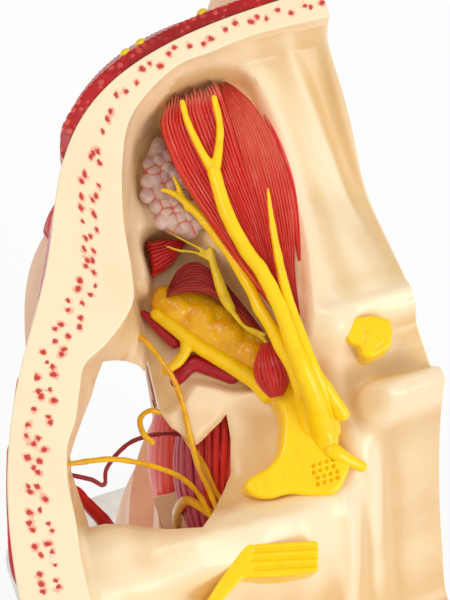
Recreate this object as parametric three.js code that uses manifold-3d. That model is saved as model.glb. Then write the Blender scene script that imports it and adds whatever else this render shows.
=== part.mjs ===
// Half of a life-size anatomical head, cut in the median plane and sawn open above the brows, on a rod stand.
// The head parts are placed from the top of the sella's rear wall: +X to the person's left, -Y forward, +Z up.
import * as THREE from 'three';
import { mergeVertices } from 'three/addons/utils/BufferGeometryUtils.js';
import Module from 'manifold-3d';

const wasm = await Module();
wasm.setup();

// Driving dimensions in millimetres
const SEAT_GAP = 0.3; // between pieces that touch
const CUT_HEIGHT = 12; // plane of the sawn skull
const FOREHEAD = -64; // front of the bone at the cut
const OCCIPUT = 112; // back of the bone at the cut
const HALF_BREADTH = 79; // half of the head's breadth at the cut
const MUSCLE_THICKNESS = 2.2; // of the muscles that lie on the outside
const NECK_END = -170; // where the neck is cut off
const CHIN_UNDERSIDE = -116;
const JAW_BRANCH = { near: 37.5, far: 44.5, lean: 0.155 }; // faces at its top, inward lean per millimetre down
const STAND_CENTRE = { x: 20, y: 30 }; // the rod's axis
const BOARD = { width: 78, length: 108, height: 14, corner: 9 };
const PAD = { inset: 4, height: 1.5 };
const ROD_RADIUS = 4;
const ROD_TIP = -118;
const COLLAR = { radius: 8, height: 3 };
const BUSH = { wall: 3, height: 38 };
const RUNNING_CLEARANCE = 0.1; // between the rod and the neck's bush, all round
const FLANGE = { radius: 21, height: 4, bolts: 14.5 };
const ROD_SHOWN = 29.2; // from the flange to the collar's underside
const SCREW = { headRadius: 3.4, headHeight: 2, shankRadius: 1.7, length: 10 };
const WIRE_RADIUS = 0.68; // of the stiff nerve wires
const VESSEL_RADIUS = 1.3; // of the arteries on the outside
const EYE = { x: 31, y: -50, z: -27, radius: 12 };

// Finishes from the photograph
const finish = (color, roughness = 0.35, metalness = 0) =>
  new THREE.MeshStandardMaterial({ color, roughness, metalness });
const BONE = finish(0xf3dcae);
const SKIN = finish(0xe9b98f, 0.45);
const MUSCLE = finish(0xc4261d);
const DARK_MUSCLE = finish(0x9c1c22);
const PINK_MUSCLE = finish(0xdc5a4e);
const NERVE = finish(0xffd80f, 0.3);
const ARTERY = finish(0xa5142a, 0.3);
const GLAND = finish(0xc3a09a, 0.4);
const FAT = finish(0xe6b52c, 0.25);
const CORD_WHITE = finish(0xf2e6c8, 0.4);
const EYE_WHITE = finish(0xf4f1ea, 0.15);
const STEEL = finish(0xb9bcc0, 0.3, 1);
const BOARD_WHITE = finish(0xeceae4, 0.4);
const PAD_GREY = finish(0x55575a, 0.9);

// A closed three.js geometry as a solid for cutting and joining.
function toSolid(geometry) {
  const bare = geometry.clone();
  bare.deleteAttribute('normal');
  bare.deleteAttribute('uv');
  const merged = mergeVertices(bare, 1e-4);
  const position = merged.getAttribute('position').array;
  const triangles = [];
  let volume = 0;
  const corner = (index) => new THREE.Vector3().fromArray(position, index * 3);
  for (let i = 0; i < merged.index.count; i += 3) {
    const [a, b, c] = merged.index.array.slice(i, i + 3);
    if (a === b || b === c || c === a) continue;
    triangles.push([a, b, c]);
    volume += corner(a).dot(corner(b).cross(corner(c)));
  }
  const facing = volume < 0 ? triangles.map(([a, b, c]) => [a, c, b]) : triangles;
  const mesh = new wasm.Mesh({
    numProp: 3,
    vertProperties: new Float32Array(position),
    triVerts: new Uint32Array(facing.flat()),
  });
  return new wasm.Manifold(mesh);
}

const join = (...solids) => solids.reduce((whole, next) => whole.add(next));
const cut = (solid, ...tools) => tools.reduce((rest, tool) => rest.subtract(tool), solid);

// The largest body of a solid, without the crumbs that a cut may leave.
function mainBody(solid) {
  return solid.decompose().reduce((best, next) => (next.volume() > best.volume() ? next : best));
}

function toGeometry(solid) {
  const mesh = solid.getMesh();
  const geometry = new THREE.BufferGeometry();
  geometry.setAttribute('position', new THREE.BufferAttribute(mesh.vertProperties.slice(), 3));
  geometry.setIndex(new THREE.BufferAttribute(mesh.triVerts.slice(), 1));
  geometry.computeVertexNormals();
  return geometry;
}

// Value at t on a line of [t, value] points.
function along(points, t) {
  if (t <= points[0][0]) return points[0][1];
  for (let i = 1; i < points.length; i += 1) {
    const [start, from] = points[i - 1];
    const [end, to] = points[i];
    if (t <= end) return from + ((to - from) * (t - start)) / (end - start);
  }
  return points[points.length - 1][1];
}

// A closed outline moved outwards by a distance.
function spread(outline, distance) {
  const area = THREE.ShapeUtils.area(outline.map(([u, v]) => new THREE.Vector2(u, v)));
  const side = area > 0 ? 1 : -1;
  const count = outline.length;
  return outline.map(([u, v], i) => {
    const [pu, pv] = outline[(i + count - 1) % count];
    const [nu, nv] = outline[(i + 1) % count];
    const before = new THREE.Vector2(v - pv, pu - u).normalize();
    const after = new THREE.Vector2(nv - v, u - nu).normalize();
    const miter = before.clone().add(after).multiplyScalar(1 / (1 + before.dot(after)));
    return [u + side * distance * miter.x, v + side * distance * miter.y];
  });
}

// A smooth closed outline through a few points.
function rounded(outline, steps) {
  const points = outline.map(([u, v]) => new THREE.Vector3(u, v, 0));
  const curve = new THREE.CatmullRomCurve3(points, true, 'centripetal');
  return curve.getSpacedPoints(steps).slice(0, steps).map((p) => [p.x, p.y]);
}

const shapeOf = (outline) => new THREE.Shape(outline.map(([u, v]) => new THREE.Vector2(u, v)));

// A plate with its outline in x and y, between two heights.
function plateZ(outline, low, high) {
  const geometry = new THREE.ExtrudeGeometry(shapeOf(outline), { depth: high - low, bevelEnabled: false });
  return toSolid(geometry.translate(0, 0, low));
}

// A plate with its outline in y and z, between two distances from the median plane.
function plateX(outline, near, far) {
  const geometry = new THREE.ExtrudeGeometry(shapeOf(outline), { depth: far - near, bevelEnabled: false });
  const turn = new THREE.Matrix4().makeBasis(
    new THREE.Vector3(0, 1, 0),
    new THREE.Vector3(0, 0, 1),
    new THREE.Vector3(1, 0, 0),
  );
  return toSolid(geometry.applyMatrix4(turn).translate(near, 0, 0));
}

// A plate with its outline in x and z, between two places along y.
function plateY(outline, front, back) {
  const geometry = new THREE.ExtrudeGeometry(shapeOf(outline), { depth: back - front, bevelEnabled: false });
  return toSolid(geometry.rotateX(Math.PI / 2).translate(0, back, 0));
}

// A round cord along a smooth line of points.
function tube(points, radius, sides = 6, spacing = 4.2) {
  const path = new THREE.CatmullRomCurve3(points.map((p) => new THREE.Vector3(...p)), false, 'centripetal');
  const section = new THREE.Shape();
  for (let i = 0; i < sides; i += 1) {
    const angle = (2 * Math.PI * i) / sides;
    const place = [radius * Math.cos(angle), radius * Math.sin(angle)];
    if (i === 0) section.moveTo(...place);
    else section.lineTo(...place);
  }
  const steps = Math.max(2, Math.round(path.getLength() / spacing));
  const geometry = new THREE.ExtrudeGeometry(section, { steps, bevelEnabled: false, extrudePath: path });
  return toSolid(geometry);
}

// A muscle belly from one end to the other: wide and deep are its half sizes across.
function belly(from, to, wide, deep, turn = 0) {
  const start = new THREE.Vector3(...from);
  const end = new THREE.Vector3(...to);
  const geometry = new THREE.SphereGeometry(1, 12, 10).scale(wide, start.distanceTo(end) / 2, deep);
  geometry.rotateY(turn);
  const direction = end.clone().sub(start).normalize();
  geometry.applyQuaternion(new THREE.Quaternion().setFromUnitVectors(new THREE.Vector3(0, 1, 0), direction));
  const middle = start.add(end).multiplyScalar(0.5);
  return toSolid(geometry.translate(middle.x, middle.y, middle.z));
}

// A solid through closed rings, from the lowest up, that all have as many points.
function loft(outlines) {
  const flat = (ring) => ring.map((p) => new THREE.Vector2(p.x, p.y));
  const isClockwise = THREE.ShapeUtils.isClockWise(flat(outlines[0]));
  const rings = isClockwise ? outlines.map((ring) => [...ring].reverse()) : outlines;
  const count = rings[0].length;
  const position = rings.flat().flatMap((p) => [p.x, p.y, p.z]);
  const index = [];
  for (let level = 0; level < rings.length - 1; level += 1) {
    for (let i = 0; i < count; i += 1) {
      const a = level * count + i;
      const b = level * count + ((i + 1) % count);
      index.push(a, b, b + count, a, b + count, a + count);
    }
  }
  const last = (rings.length - 1) * count;
  for (const [a, b, c] of THREE.ShapeUtils.triangulateShape(flat(rings[0]), [])) index.push(a, c, b);
  for (const [a, b, c] of THREE.ShapeUtils.triangulateShape(flat(rings[rings.length - 1]), [])) {
    index.push(last + a, last + b, last + c);
  }
  const geometry = new THREE.BufferGeometry();
  geometry.setAttribute('position', new THREE.Float32BufferAttribute(position, 3));
  geometry.setIndex(index);
  return toSolid(geometry);
}

// Outer form of the head: the girth at each height, then what rises from it or sinks into it.
const GIRTHS = [
  { z: CUT_HEIGHT, front: FOREHEAD - 1, back: OCCIPUT, half: HALF_BREADTH + 0.8, widest: 27, fullness: 2.74 },
  { z: -8, front: FOREHEAD - 3, back: OCCIPUT + 1, half: HALF_BREADTH - 4.5, widest: 28, fullness: 2.7 },
  { z: -25, front: FOREHEAD - 3, back: OCCIPUT - 4, half: HALF_BREADTH - 7.5, widest: 28, fullness: 2.5 },
  { z: -45, front: FOREHEAD - 4, back: OCCIPUT - 20, half: HALF_BREADTH - 13, widest: 22, fullness: 2.3 },
  { z: -65, front: FOREHEAD - 5, back: OCCIPUT - 34, half: HALF_BREADTH - 19, widest: 16, fullness: 2.2 },
  { z: -85, front: FOREHEAD - 5, back: OCCIPUT - 42, half: HALF_BREADTH - 25, widest: 10, fullness: 2.1 },
  { z: -103, front: FOREHEAD + 1, back: OCCIPUT - 46, half: HALF_BREADTH - 32, widest: 10, fullness: 2.1 },
  { z: -116, front: FOREHEAD + 26, back: OCCIPUT - 47, half: HALF_BREADTH - 35, widest: 16, fullness: 2.2 },
  { z: -145, front: FOREHEAD + 31, back: OCCIPUT - 47, half: HALF_BREADTH - 36, widest: 18, fullness: 2.2 },
  { z: NECK_END, front: FOREHEAD + 31, back: OCCIPUT - 44, half: HALF_BREADTH - 35, widest: 18, fullness: 2.2 },
];
const SWELLINGS = [
  { at: [27, -62, -5], reach: [20, 16, 7], rise: 3 }, // brow
  { at: [EYE.x, -60, EYE.z + 2], reach: [15, 20, 10], rise: -9 }, // eye socket
  { at: [50, -45, -42], reach: [13, 20, 10], rise: 4 }, // cheekbone
  { at: [46, -45, -68], reach: [14, 22, 12], rise: -5 }, // below the cheekbone
  { at: [66, -31, 4], reach: [19, 41, 26], rise: -11.6 }, // temple
  { at: [0, -66, -12], reach: [9, 12, 7], rise: -3 }, // root of the nose
  { at: [0, -70, -68], reach: [20, 14, 9], rise: 5 }, // lips
  { at: [0, -70, -68], reach: [22, 14, 1.8], rise: -2.5 }, // between the lips
  { at: [0, -70, -83], reach: [20, 14, 4], rise: -3 }, // below the lower lip
  { at: [0, -68, -95], reach: [15, 14, 9], rise: 5 }, // chin
];
const NOSE_RISE = [[-58, 0], [-55, 9], [-50, 19], [-45, 21], [-35, 15], [-20, 7], [-10, 0]];
const NOSE_WIDTH = [[-56, 13], [-48, 12], [-38, 8], [-10, 6]];
const FRONT_SHARES = [0, 0.05, 0.1, 0.15, 0.21, 0.28, 0.36, 0.45, 0.55, 0.66, 0.77, 0.87, 0.945, 0.985, 1];
const BACK_SHARES = [0.97, 0.88, 0.73, 0.52, 0.28, 0];
const HEIGHTS = [12, 2, -8, -17, -25, -33, -41, -48, -54, -58, -62, -66, -68, -70, -76, -83, -90, -97, -103, -109,
  -116, -132, NECK_END];

function girth(z) {
  const value = (key) => along([...GIRTHS].reverse().map((g) => [g.z, g[key]]), z);
  return {
    front: value('front'),
    back: value('back'),
    half: value('half'),
    widest: value('widest'),
    fullness: value('fullness'),
  };
}

function swelling(x, y, z) {
  return SWELLINGS.reduce((sum, { at, reach, rise }) => {
    const far = ((x - at[0]) / reach[0]) ** 2 + ((y - at[1]) / reach[1]) ** 2 + ((z - at[2]) / reach[2]) ** 2;
    return sum + rise * Math.exp(-far);
  }, 0);
}

// A point of the head's surface: share is how far out it lies of the half breadth.
function headPoint(share, isFront, z, offset) {
  const { front, back, half, widest, fullness } = girth(z);
  const reach = isFront ? front - widest : back - widest;
  const level = (1 - share ** fullness) ** (1 / fullness);
  const base = new THREE.Vector3(share * half, widest + reach * level, z);
  const out = new THREE.Vector3(share ** (fullness - 1) / half, level ** (fullness - 1) / reach, 0).normalize();
  const point = base.clone().addScaledVector(out, offset + swelling(base.x, base.y, z));
  if (isFront) point.y -= along(NOSE_RISE, z) * Math.exp(-((base.x / along(NOSE_WIDTH, z)) ** 2));
  return point;
}

function headRing(z, offset = 0) {
  const front = FRONT_SHARES.map((share) => headPoint(share, true, z, offset));
  const back = BACK_SHARES.map((share) => headPoint(share, false, z, offset));
  return [...front, ...back];
}

function headForm(offset = 0) {
  return loft([...HEIGHTS].reverse().map((z) => headRing(z, offset)));
}

// The surface point at a place along y, on the person's side, or at a place along x, on the face.
function onSide(y, z, offset) {
  const ring = headRing(z, offset);
  const place = ring.findIndex((p, i) => i > 0 && p.y >= y);
  const before = ring[place - 1];
  const after = ring[place];
  const share = (y - before.y) / (after.y - before.y);
  return [before.x + (after.x - before.x) * share, y, z];
}
function onFace(x, z, offset) {
  const ring = headRing(z, offset);
  const place = ring.findIndex((p, i) => i > 0 && p.x >= x);
  const before = ring[place - 1];
  const after = ring[place];
  const share = (x - before.x) / (after.x - before.x);
  return [x, before.y + (after.y - before.y) * share, z];
}

const bareHead = headForm(0);
const coat = cut(headForm(SEAT_GAP + MUSCLE_THICKNESS), headForm(SEAT_GAP));

// Inside of the skull: the height of its floor over x and y
const MEDIAN_FLOOR = [[-64, 12], [-61, 8.5], [-58, 4.4], [-51.6, 1], [-42.6, -2.3], [-33.6, -4.9], [-23.5, -2.2],
  [-12.7, 0.8], [-8.9, -3.3], [-2.2, -4.1], [-0.3, 1.7], [1.3, 2.2], [3.1, -2.5], [7.8, -12.7], [16.3, -27.4],
  [24, -38.2], [33, -48], [50, -49], [75, -42], [96, -22], [106, 4]];
const SIDE_FLOOR = [[-64, 8], [-57, 4], [-46, 4.5], [-30, 4.5], [-19, 3.5], [-12, 0], [-6, -11], [4, -12.5],
  [9, -8.5], [13, -3.5], [17, 1], [21, -4], [30, -28], [42, -40], [80, -41], [98, -26], [108, 8]];
const floorHeight = (x, y) => {
  const outward = THREE.MathUtils.smoothstep(x, 6, 21);
  const clinoid = 3.5 * Math.exp(-(((x - 16) / 5) ** 2) - ((y + 13) / 5) ** 2);
  return THREE.MathUtils.lerp(along(MEDIAN_FLOOR, y), along(SIDE_FLOOR, y), outward) + clinoid;
};
const INNER_RIM = [[-3, -60], [14, -60.4], [26, -59.2], [33, -56], [38.5, -51], [41.5, -44], [44, -34], [46, -25],
  [52, -19], [58, -14], [63, -6], [66, 6], [67.5, 20], [67, 40], [61, 64], [48, 86], [28, 98], [-3, 102]];
const WALL_SLOPE = 5; // how far the wall's foot lies inside the rim at the front
const WALL_FOOT = -6;

function cavityForm() {
  const cells = { x: 12, y: 26 };
  const size = { x: HALF_BREADTH + 2, y: OCCIPUT - FOREHEAD - 2 };
  const top = CUT_HEIGHT + 3;
  const block = new THREE.BoxGeometry(size.x, size.y, 1, cells.x, cells.y, 1);
  block.translate(size.x / 2 - 1.5, size.y / 2 + FOREHEAD - 1, 0.5);
  const position = block.getAttribute('position');
  for (let i = 0; i < position.count; i += 1) {
    const isTop = position.getZ(i) > 0.5;
    position.setZ(i, isTop ? top : floorHeight(Math.max(0, position.getX(i)), position.getY(i)));
  }
  const ring = (inset, z) => spread(INNER_RIM, -inset).map(([x, y], i) => {
    const isMedian = INNER_RIM[i][0] < 0;
    return new THREE.Vector3(isMedian ? INNER_RIM[i][0] : x, y, z);
  });
  const rings = [ring(WALL_SLOPE * 2, -60), ring(WALL_SLOPE, WALL_FOOT), ring(0, CUT_HEIGHT), ring(0, top + 1)];
  const walls = loft(rings);
  return toSolid(block).intersect(walls);
}

// The window through the middle of the skull's floor, slanting inwards and forwards as it goes down
const WINDOW = [[62.8, 6.5], [62.7, -2.9], [60.7, -7.4], [55.8, -13.5], [52.2, -18.4], [48.6, -17.4], [46, -14.1],
  [46.8, -11.3], [45.9, -7.3], [43.9, -3.2], [42.1, -0.8], [39, -2.3], [35.9, -4.1], [36.5, -0.2], [38.4, 5.3],
  [42.5, 9.7], [45.5, 12.1], [54.5, 9.1]];
const SIGHT_SLANT = { x: 0.147, y: 0.165 }; // per millimetre of depth
function slantedPrism(outline, high, low) {
  const ring = (z) => outline.map(([x, y]) => new THREE.Vector3(x + SIGHT_SLANT.x * z, y + SIGHT_SLANT.y * z, z));
  return loft([ring(low), ring(high)]);
}
const windowHole = slantedPrism(WINDOW, 20, -62);

// The open side of the head below the window, where the jaw's branch is cut away
const OPEN_SIDE_TOP = [[43, -21.5], [58, -25], [96, -40], [96, 14], [58, 14], [51, 13], [44.5, -5]];
const OPEN_SIDE_BOTTOM = [[25.5, -43], [45, -47], [96, -60], [96, 10], [58, 10], [38, 2], [29, -22]];
const openSide = loft([
  OPEN_SIDE_BOTTOM.map(([x, y]) => new THREE.Vector3(x, y, -124)),
  OPEN_SIDE_TOP.map(([x, y]) => new THREE.Vector3(x, y, -12)),
]);

// The blocks of the head in the median section, as y and z outlines
const BEHIND = OCCIPUT + 8;
const AHEAD = FOREHEAD - 46;
const BELOW = NECK_END - 30;
const BLOCK_WIDTH = HALF_BREADTH + 22;
const SKULL_UNDERSIDE = [[-58, -14], [-44, -19], [-28, -22], [-8, -28], [6, -40], [18, -52], [34, -58], [62, -57],
  [92, -48], [BEHIND, -20]];
const JAW_TOP = [[AHEAD, -68], [-30, -68], [-9, -60]];
const THROAT_BACK = [[-9, -60], [-9, -78], [-16, -100], [-30, CHIN_UNDERSIDE]];
const lowered = (outline) => outline.map(([y, z]) => [y, z - SEAT_GAP]);
const skullSection = [[AHEAD, -14], ...SKULL_UNDERSIDE, [BEHIND, 30], [AHEAD, 30]];
const faceSection = [[AHEAD, -14 - SEAT_GAP], ...lowered(SKULL_UNDERSIDE.slice(0, 4)), ...[...JAW_TOP].reverse()];
const jawSection = [...lowered(JAW_TOP), ...THROAT_BACK.slice(1), [AHEAD, CHIN_UNDERSIDE]];
const behindThroat = THROAT_BACK.map(([y, z]) => [y + SEAT_GAP, z - SEAT_GAP]).reverse();
const neckSection = [[-8 + SEAT_GAP, -28 - SEAT_GAP], ...lowered(SKULL_UNDERSIDE.slice(4)), [BEHIND, BELOW],
  [FOREHEAD, BELOW], [FOREHEAD, CHIN_UNDERSIDE - SEAT_GAP], ...behindThroat];
const block = (section) => bareHead.intersect(plateX(section, -1, BLOCK_WIDTH));

const headPieces = new THREE.Group();
const standPieces = new THREE.Group();
const group = new THREE.Group();
group.add(headPieces, standPieces);

function place(name, solid, material, parent = headPieces) {
  const mesh = new THREE.Mesh(toGeometry(mainBody(solid)), material);
  mesh.name = name;
  parent.add(mesh);
}

// Each inner piece is a function of how much it grows, so that its bed is its own form with the seat gap.
const bed = (form) => form(SEAT_GAP);

// Contents of the orbit
const FAN = [[30.3, -52], [28.5, -55.5], [24, -56.3], [19, -55.4], [15.6, -51], [14.3, -42.5], [14.9, -35.6],
  [16.5, -27.5], [18.8, -19.7], [20.6, -15], [23, -20], [26.4, -28], [29.3, -38], [30.4, -46]];
const FAN_BED = 0.2;
const RECTUS_TOP = 2.9;
const FAN_TOP = 5;
const FAN_STEP = 1.2; // how far the upper muscle reaches over the lower one
const ORBIT_OPENING = [[12.2, -50], [16, -57], [30.5, -57.4], [36.6, -51], [38.5, -43], [39, -35], [41.5, -26],
  [37, -20], [32, -12], [27, -7], [21, -5], [19, -12], [15, -26], [12, -38]];
const GLAND_OUTLINE = [[30.9, -52.4], [33.7, -49.5], [35.4, -45], [35.8, -41], [34.6, -37.4], [32, -34.8],
  [30.2, -34.6], [30.6, -41], [31, -47]];
const GLAND_POCKET = [[30.4, -54.5], [36.8, -50.5], [38.2, -43], [38.4, -33.5], [29.2, -33.5], [30.4, -44]];
const GLAND_BED = -6;
const FAT_OUTLINE = [[40.1, -25.9], [38, -29.6], [32, -31], [27.5, -29.6], [24.8, -22], [22.6, -14], [24.6, -10.6],
  [29.9, -11.6], [33.7, -16], [37, -20.5]];
const FAT_POCKET = [[41.2, -26], [38.4, -38.2], [31.8, -38.2], [27, -30.4], [23.8, -21], [21.6, -11], [25, -6],
  [31, -11.4], [38.2, -20.4]];
const FAT_BED = -13;
const RECTUS_OUTLINE = [[36.9, -28.1], [34, -30.4], [30.2, -30.6], [27.6, -29.4], [25.2, -24.8], [23.4, -19.3],
  [23.2, -15], [26.9, -19.9], [29.6, -22.8], [32.8, -26.1]];
const SIDE_OUTLINE = [[37.8, -31.6], [36.8, -36.6], [34.2, -37.4], [32.4, -35.6], [34, -32.2]];

// A flat piece with a rounded outline and edges that lie between two heights.
function slab(outline, steps, low, high) {
  return (grow) => plateZ(spread(rounded(outline, steps), grow), low - grow, high + grow);
}
const superiorRectus = slab(spread(FAN, -FAN_STEP), 20, FAN_BED + SEAT_GAP, RECTUS_TOP);
const levator = slab(FAN, 26, RECTUS_TOP + SEAT_GAP, FAN_TOP);
const superiorOblique = (grow) => tube(
  [[13.6, -50, 1.7], [13.1, -42, 1.7], [14, -34, 1.6], [16.4, -24, 1.4]],
  0.8 + grow,
);
const lacrimalGland = slab(GLAND_OUTLINE, 20, GLAND_BED + SEAT_GAP, -0.6);
const inferiorRectus = slab(RECTUS_OUTLINE, 18, -8.4, -5);
const orbitalFat = slab(FAT_OUTLINE, 22, FAT_BED + SEAT_GAP, -8);
const sideMuscle = slab(SIDE_OUTLINE, 12, FAT_BED + SEAT_GAP, -7);
const stumpBall = (grow) => belly([25.6, -12.4 - grow, -3.2], [26, -5.2 + grow, -5], 3.1 + grow, 3 + grow);

// Nerves
const GANGLION = [[26.1, -6.9], [26.2, -2], [27.6, 2.4], [30.1, 4.5], [34.6, 5.6], [34.5, 8], [31, 10.6], [26, 12.2],
  [20.8, 12], [17.6, 9], [17.3, 3], [18.6, -3], [20.6, -6.4]];
const trigeminalGanglion = slab(GANGLION, 26, -12.6, -5.2);
const frontalNerve = (grow) => join(
  tube([[20.8, 2.6, -4.6], [21, -0.6, 1.6], [22, -6.5, 4.4], [23.2, -13, 5.4], [24.3, -18.4, 6.4],
    [25.2, -25.4, 6.7], [26.1, -35.8, 6.9], [25.9, -42.8, 6.9]], 1.4 + grow),
  tube([[25.9, -41.5, 6.7], [26.6, -45, 6.4], [27.2, -51.1, 6.3], [26.9, -55, 6.2]], 0.85 + grow),
  tube([[25.9, -41.5, 6.7], [23.8, -45.2, 6.4], [22.3, -49, 6.3], [21.6, -54.2, 6.2]], 0.85 + grow),
);
const nasociliaryNerve = (grow) => tube(
  [[19.2, 2.4, -4.6], [19.4, -2.6, 2.2], [20.2, -10, 4.2], [20.9, -16, 5.3], [21.2, -21, 6], [20.4, -28, 6.1],
    [19, -33.8, 6.1]],
  0.75 + grow,
);
const oculomotorNerve = (grow) => tube(
  [[20.6, -8.6, 1.9], [18.9, -2.8, 1.1], [16.9, 1.7, -1.4], [15.7, 3.6, -3.4]],
  1.1 + grow,
);
const abducensNerve = (grow) => tube([[18.6, 5.6, -4.4], [16.9, 7.3, -5.6], [14.8, 9.8, -8.4]], 1 + grow);
const lacrimalNerve = (grow) => join(
  tube([[22.6, 2.8, -4.8], [23.4, -1.8, -0.5], [24.3, -9.1, 1], [25.8, -15.7, 1.4], [27, -22.1, 1.2],
    [28.2, -27.5, 0.9], [29.4, -32.3, 0.7], [30.9, -38.6, 0.4], [32.6, -42, 0.4], [34.1, -42.9, 0.3]], 0.9 + grow),
  tube([[30.7, -38, 0.4], [31, -41.4, 0.4], [31.2, -44.5, 0.4]], 0.7 + grow),
);
const ciliaryGanglion = (grow) => join(
  tube([[29.4, -27.8, -3.9], [29.6, -24.4, -4], [29, -21.6, -4.1]], 0.95 + grow),
  tube([[28, -31, -3.6], [29.4, -27.4, -3.9]], 0.5 + grow),
  tube([[29, -21.8, -4.1], [28, -17.6, -4.4], [26.6, -14.6, -4.6], [26, -13.2, -4.4]], 0.5 + grow),
);
const opticNerve = (grow) => {
  const stump = new THREE.CylinderGeometry(1, 1, 9 + 2 * grow, 16).rotateX(Math.PI / 2);
  return toSolid(stump.scale(4 + grow, 3.5 + grow, 1).translate(9.5, -8.9, -1.4));
};
const maxillaryNerve = (grow) => join(
  tube([[40.4, -25.9, -9.4], [38.2, -22.6, -9.2], [34.6, -17.4, -9.2], [31.3, -13.6, -9.2], [27.6, -8.6, -9],
    [26.2, -5, -9]], 1.25 + grow),
  tube([[36.4, -20.2, -9.2], [37.9, -17.4, -9.6], [40, -15.9, -9.8], [42.4, -14.8, -9.8]], 0.9 + grow),
);
const FACIAL_OUTLINE = [[27.2, 18.2], [27.6, 21.8], [29.4, 23.8], [35, 23], [38, 22.4], [41.3, 23.6], [43.4, 24.4],
  [46.4, 23], [43.6, 20], [41.4, 18], [40.4, 14.8], [37.6, 15], [37.4, 17.2]];
const facialNerve = slab(FACIAL_OUTLINE, 24, -12, -2);

const NERVE_ROOT = [38.2, 9.4, -19.4]; // where the wires leave the bone
const towardRoot = (dx, dz) => [NERVE_ROOT[0] + dx, NERVE_ROOT[1], NERVE_ROOT[2] + dz];
const frontTemporalNerve = (grow) => tube(
  [[46, -24.4, -6.4], [43.6, -20.6, -6], [42, -16.9, -7], [40.9, -14.2, -8.4], [40.4, -10, -10], [40.7, -4, -12],
    [40.6, 1, -14.6], [39.8, 4.6, -17], towardRoot(0.9, 1.6)],
  WIRE_RADIUS + grow,
);
const backTemporalNerve = (grow) => tube(
  [[64.6, -4.4, 1], [61.4, -3.9, 0.6], [55.7, -3.3, -3], [48.8, -1, -9], [43.9, 1.9, -14], [41.4, 5.4, -17.6],
    towardRoot(2.4, -0.4)],
  WIRE_RADIUS + grow,
);
const buccalNerve = (grow) => tube(
  [[47.4, -4.6, -10.4], [48.5, -7, -10.2], [47.8, -9.6, -11], [45.2, -10.3, -12.6], [42.4, -8, -14],
    [40.6, -3.4, -15.2], [39.2, 0.6, -17], [38.6, 4.6, -18.6], towardRoot(-0.8, -0.2)],
  WIRE_RADIUS + grow,
);
const alveolarNerve = (grow) => tube(
  [[37.6, 11.4, -22.4], [40.4, 8, -20.6], [43, 5, -20.6], [44.2, 5, -25], [43.8, 6, -35], [42.4, 7.4, -47],
    [41.4, 9, -52]],
  WIRE_RADIUS + 0.12 + grow,
);

// Arteries inside
const maxillaryArtery = (grow) => tube(
  [[41.4, -12, -14.6], [39, -14.4, -12.8], [36, -15.6, -12.1], [33, -13.6, -12.4], [29.6, -10.8, -12.9]],
  1.5 + grow,
);
const zygomaticArtery = (grow) => tube(
  [[41.8, -26.6, -10.6], [39.6, -22.4, -11], [37.6, -18.8, -11.2]],
  0.8 + grow,
);
const deepTemporalArtery = (grow) => tube(
  [[39.6, -5.8, -21], [43.6, -6.8, -18.6], [48.5, -6.7, -14.4], [51.4, -5.9, -12], [54.2, -4.3, -10],
    [56.2, -2.6, -9.4], [57.2, -0.4, -9.2], [59, -1.8, -8.6], [61, -3, -8.4], [63, -4.2, -9]],
  0.62 + grow,
);
const middleTemporalArtery = (grow) => tube(
  [[64.4, -1.2, -10.6], [61.9, -1.4, -10.8], [60.4, 0.7, -14], [58, 4.6, -18], [56.4, 8, -21.6]],
  0.95 + grow,
);

// Muscles beside the window
const pterygoidUpper = (grow) => belly([32, -14 - grow, -17.6], [38, 8 + grow, -23], 4.4 + grow, 4.2 + grow);
const pterygoidLower = (grow) => belly([35.4, -11 - grow, -27], [40.6, 12 + grow, -30], 5 + grow, 5 + grow);
const medialPterygoid = (grow) => belly(
  [37.4, -15, -33 + grow],
  [36.4, 4, -78 - grow],
  6 + grow,
  5.4 + grow,
  0.5,
);

// Each row: height, then y of the inner front corner, the outer front corner and the back, and the front's slant
const BRANCH_ROWS = [[-95, -18, -6, 10, 3.6], [-84, -13, -4.6, 13, 3.8], [-72, -4, -3.4, 14, 2.4],
  [-50, -0.5, -0.6, 12, 2.4]];
function jawBranch(grow) {
  const top = BRANCH_ROWS[BRANCH_ROWS.length - 1][0];
  const low = BRANCH_ROWS[0][0];
  return loft(BRANCH_ROWS.map(([height, inner, outer, back, slant]) => {
    const lean = JAW_BRANCH.lean * (height - top);
    const near = JAW_BRANCH.near + lean;
    const far = JAW_BRANCH.far + lean;
    const ring = spread([[near, inner], [far - slant, inner], [far, outer], [far, back], [near, back]], grow);
    const rise = height === top ? grow : height === low ? -grow : 0;
    return ring.map(([x, y]) => new THREE.Vector3(x, y, height + rise));
  }));
}

// Median inlays: outlines in y and z and their depth from the cut
const CONCHAE_POCKET = [[-72, -47], [-24, -47], [-24, -24], [-40, -20], [-62, -20], [-70, -34]];
const SPINE = { depth: 10, front: 8, back: 25, top: -62, disc: 18 };
const CORD = { depth: 5.5, front: 28.5, back: 37, top: -58 };
const TONGUE = [[-62, -78], [-58, -71], [-44, -68.6], [-28, -69.4], [-18, -77], [-16, -90], [-26, -98], [-44, -98],
  [-58, -90]];
const LARYNX = [[-31, -124], [-24, -119], [-12, -121], [-8, -130], [-8, -160], [-10, -168], [-24, -168], [-28, -150],
  [-32, -140]];
const NASAL_DEPTH = 9;
const TONGUE_DEPTH = 17;
const LARYNX_DEPTH = 10;

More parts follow.
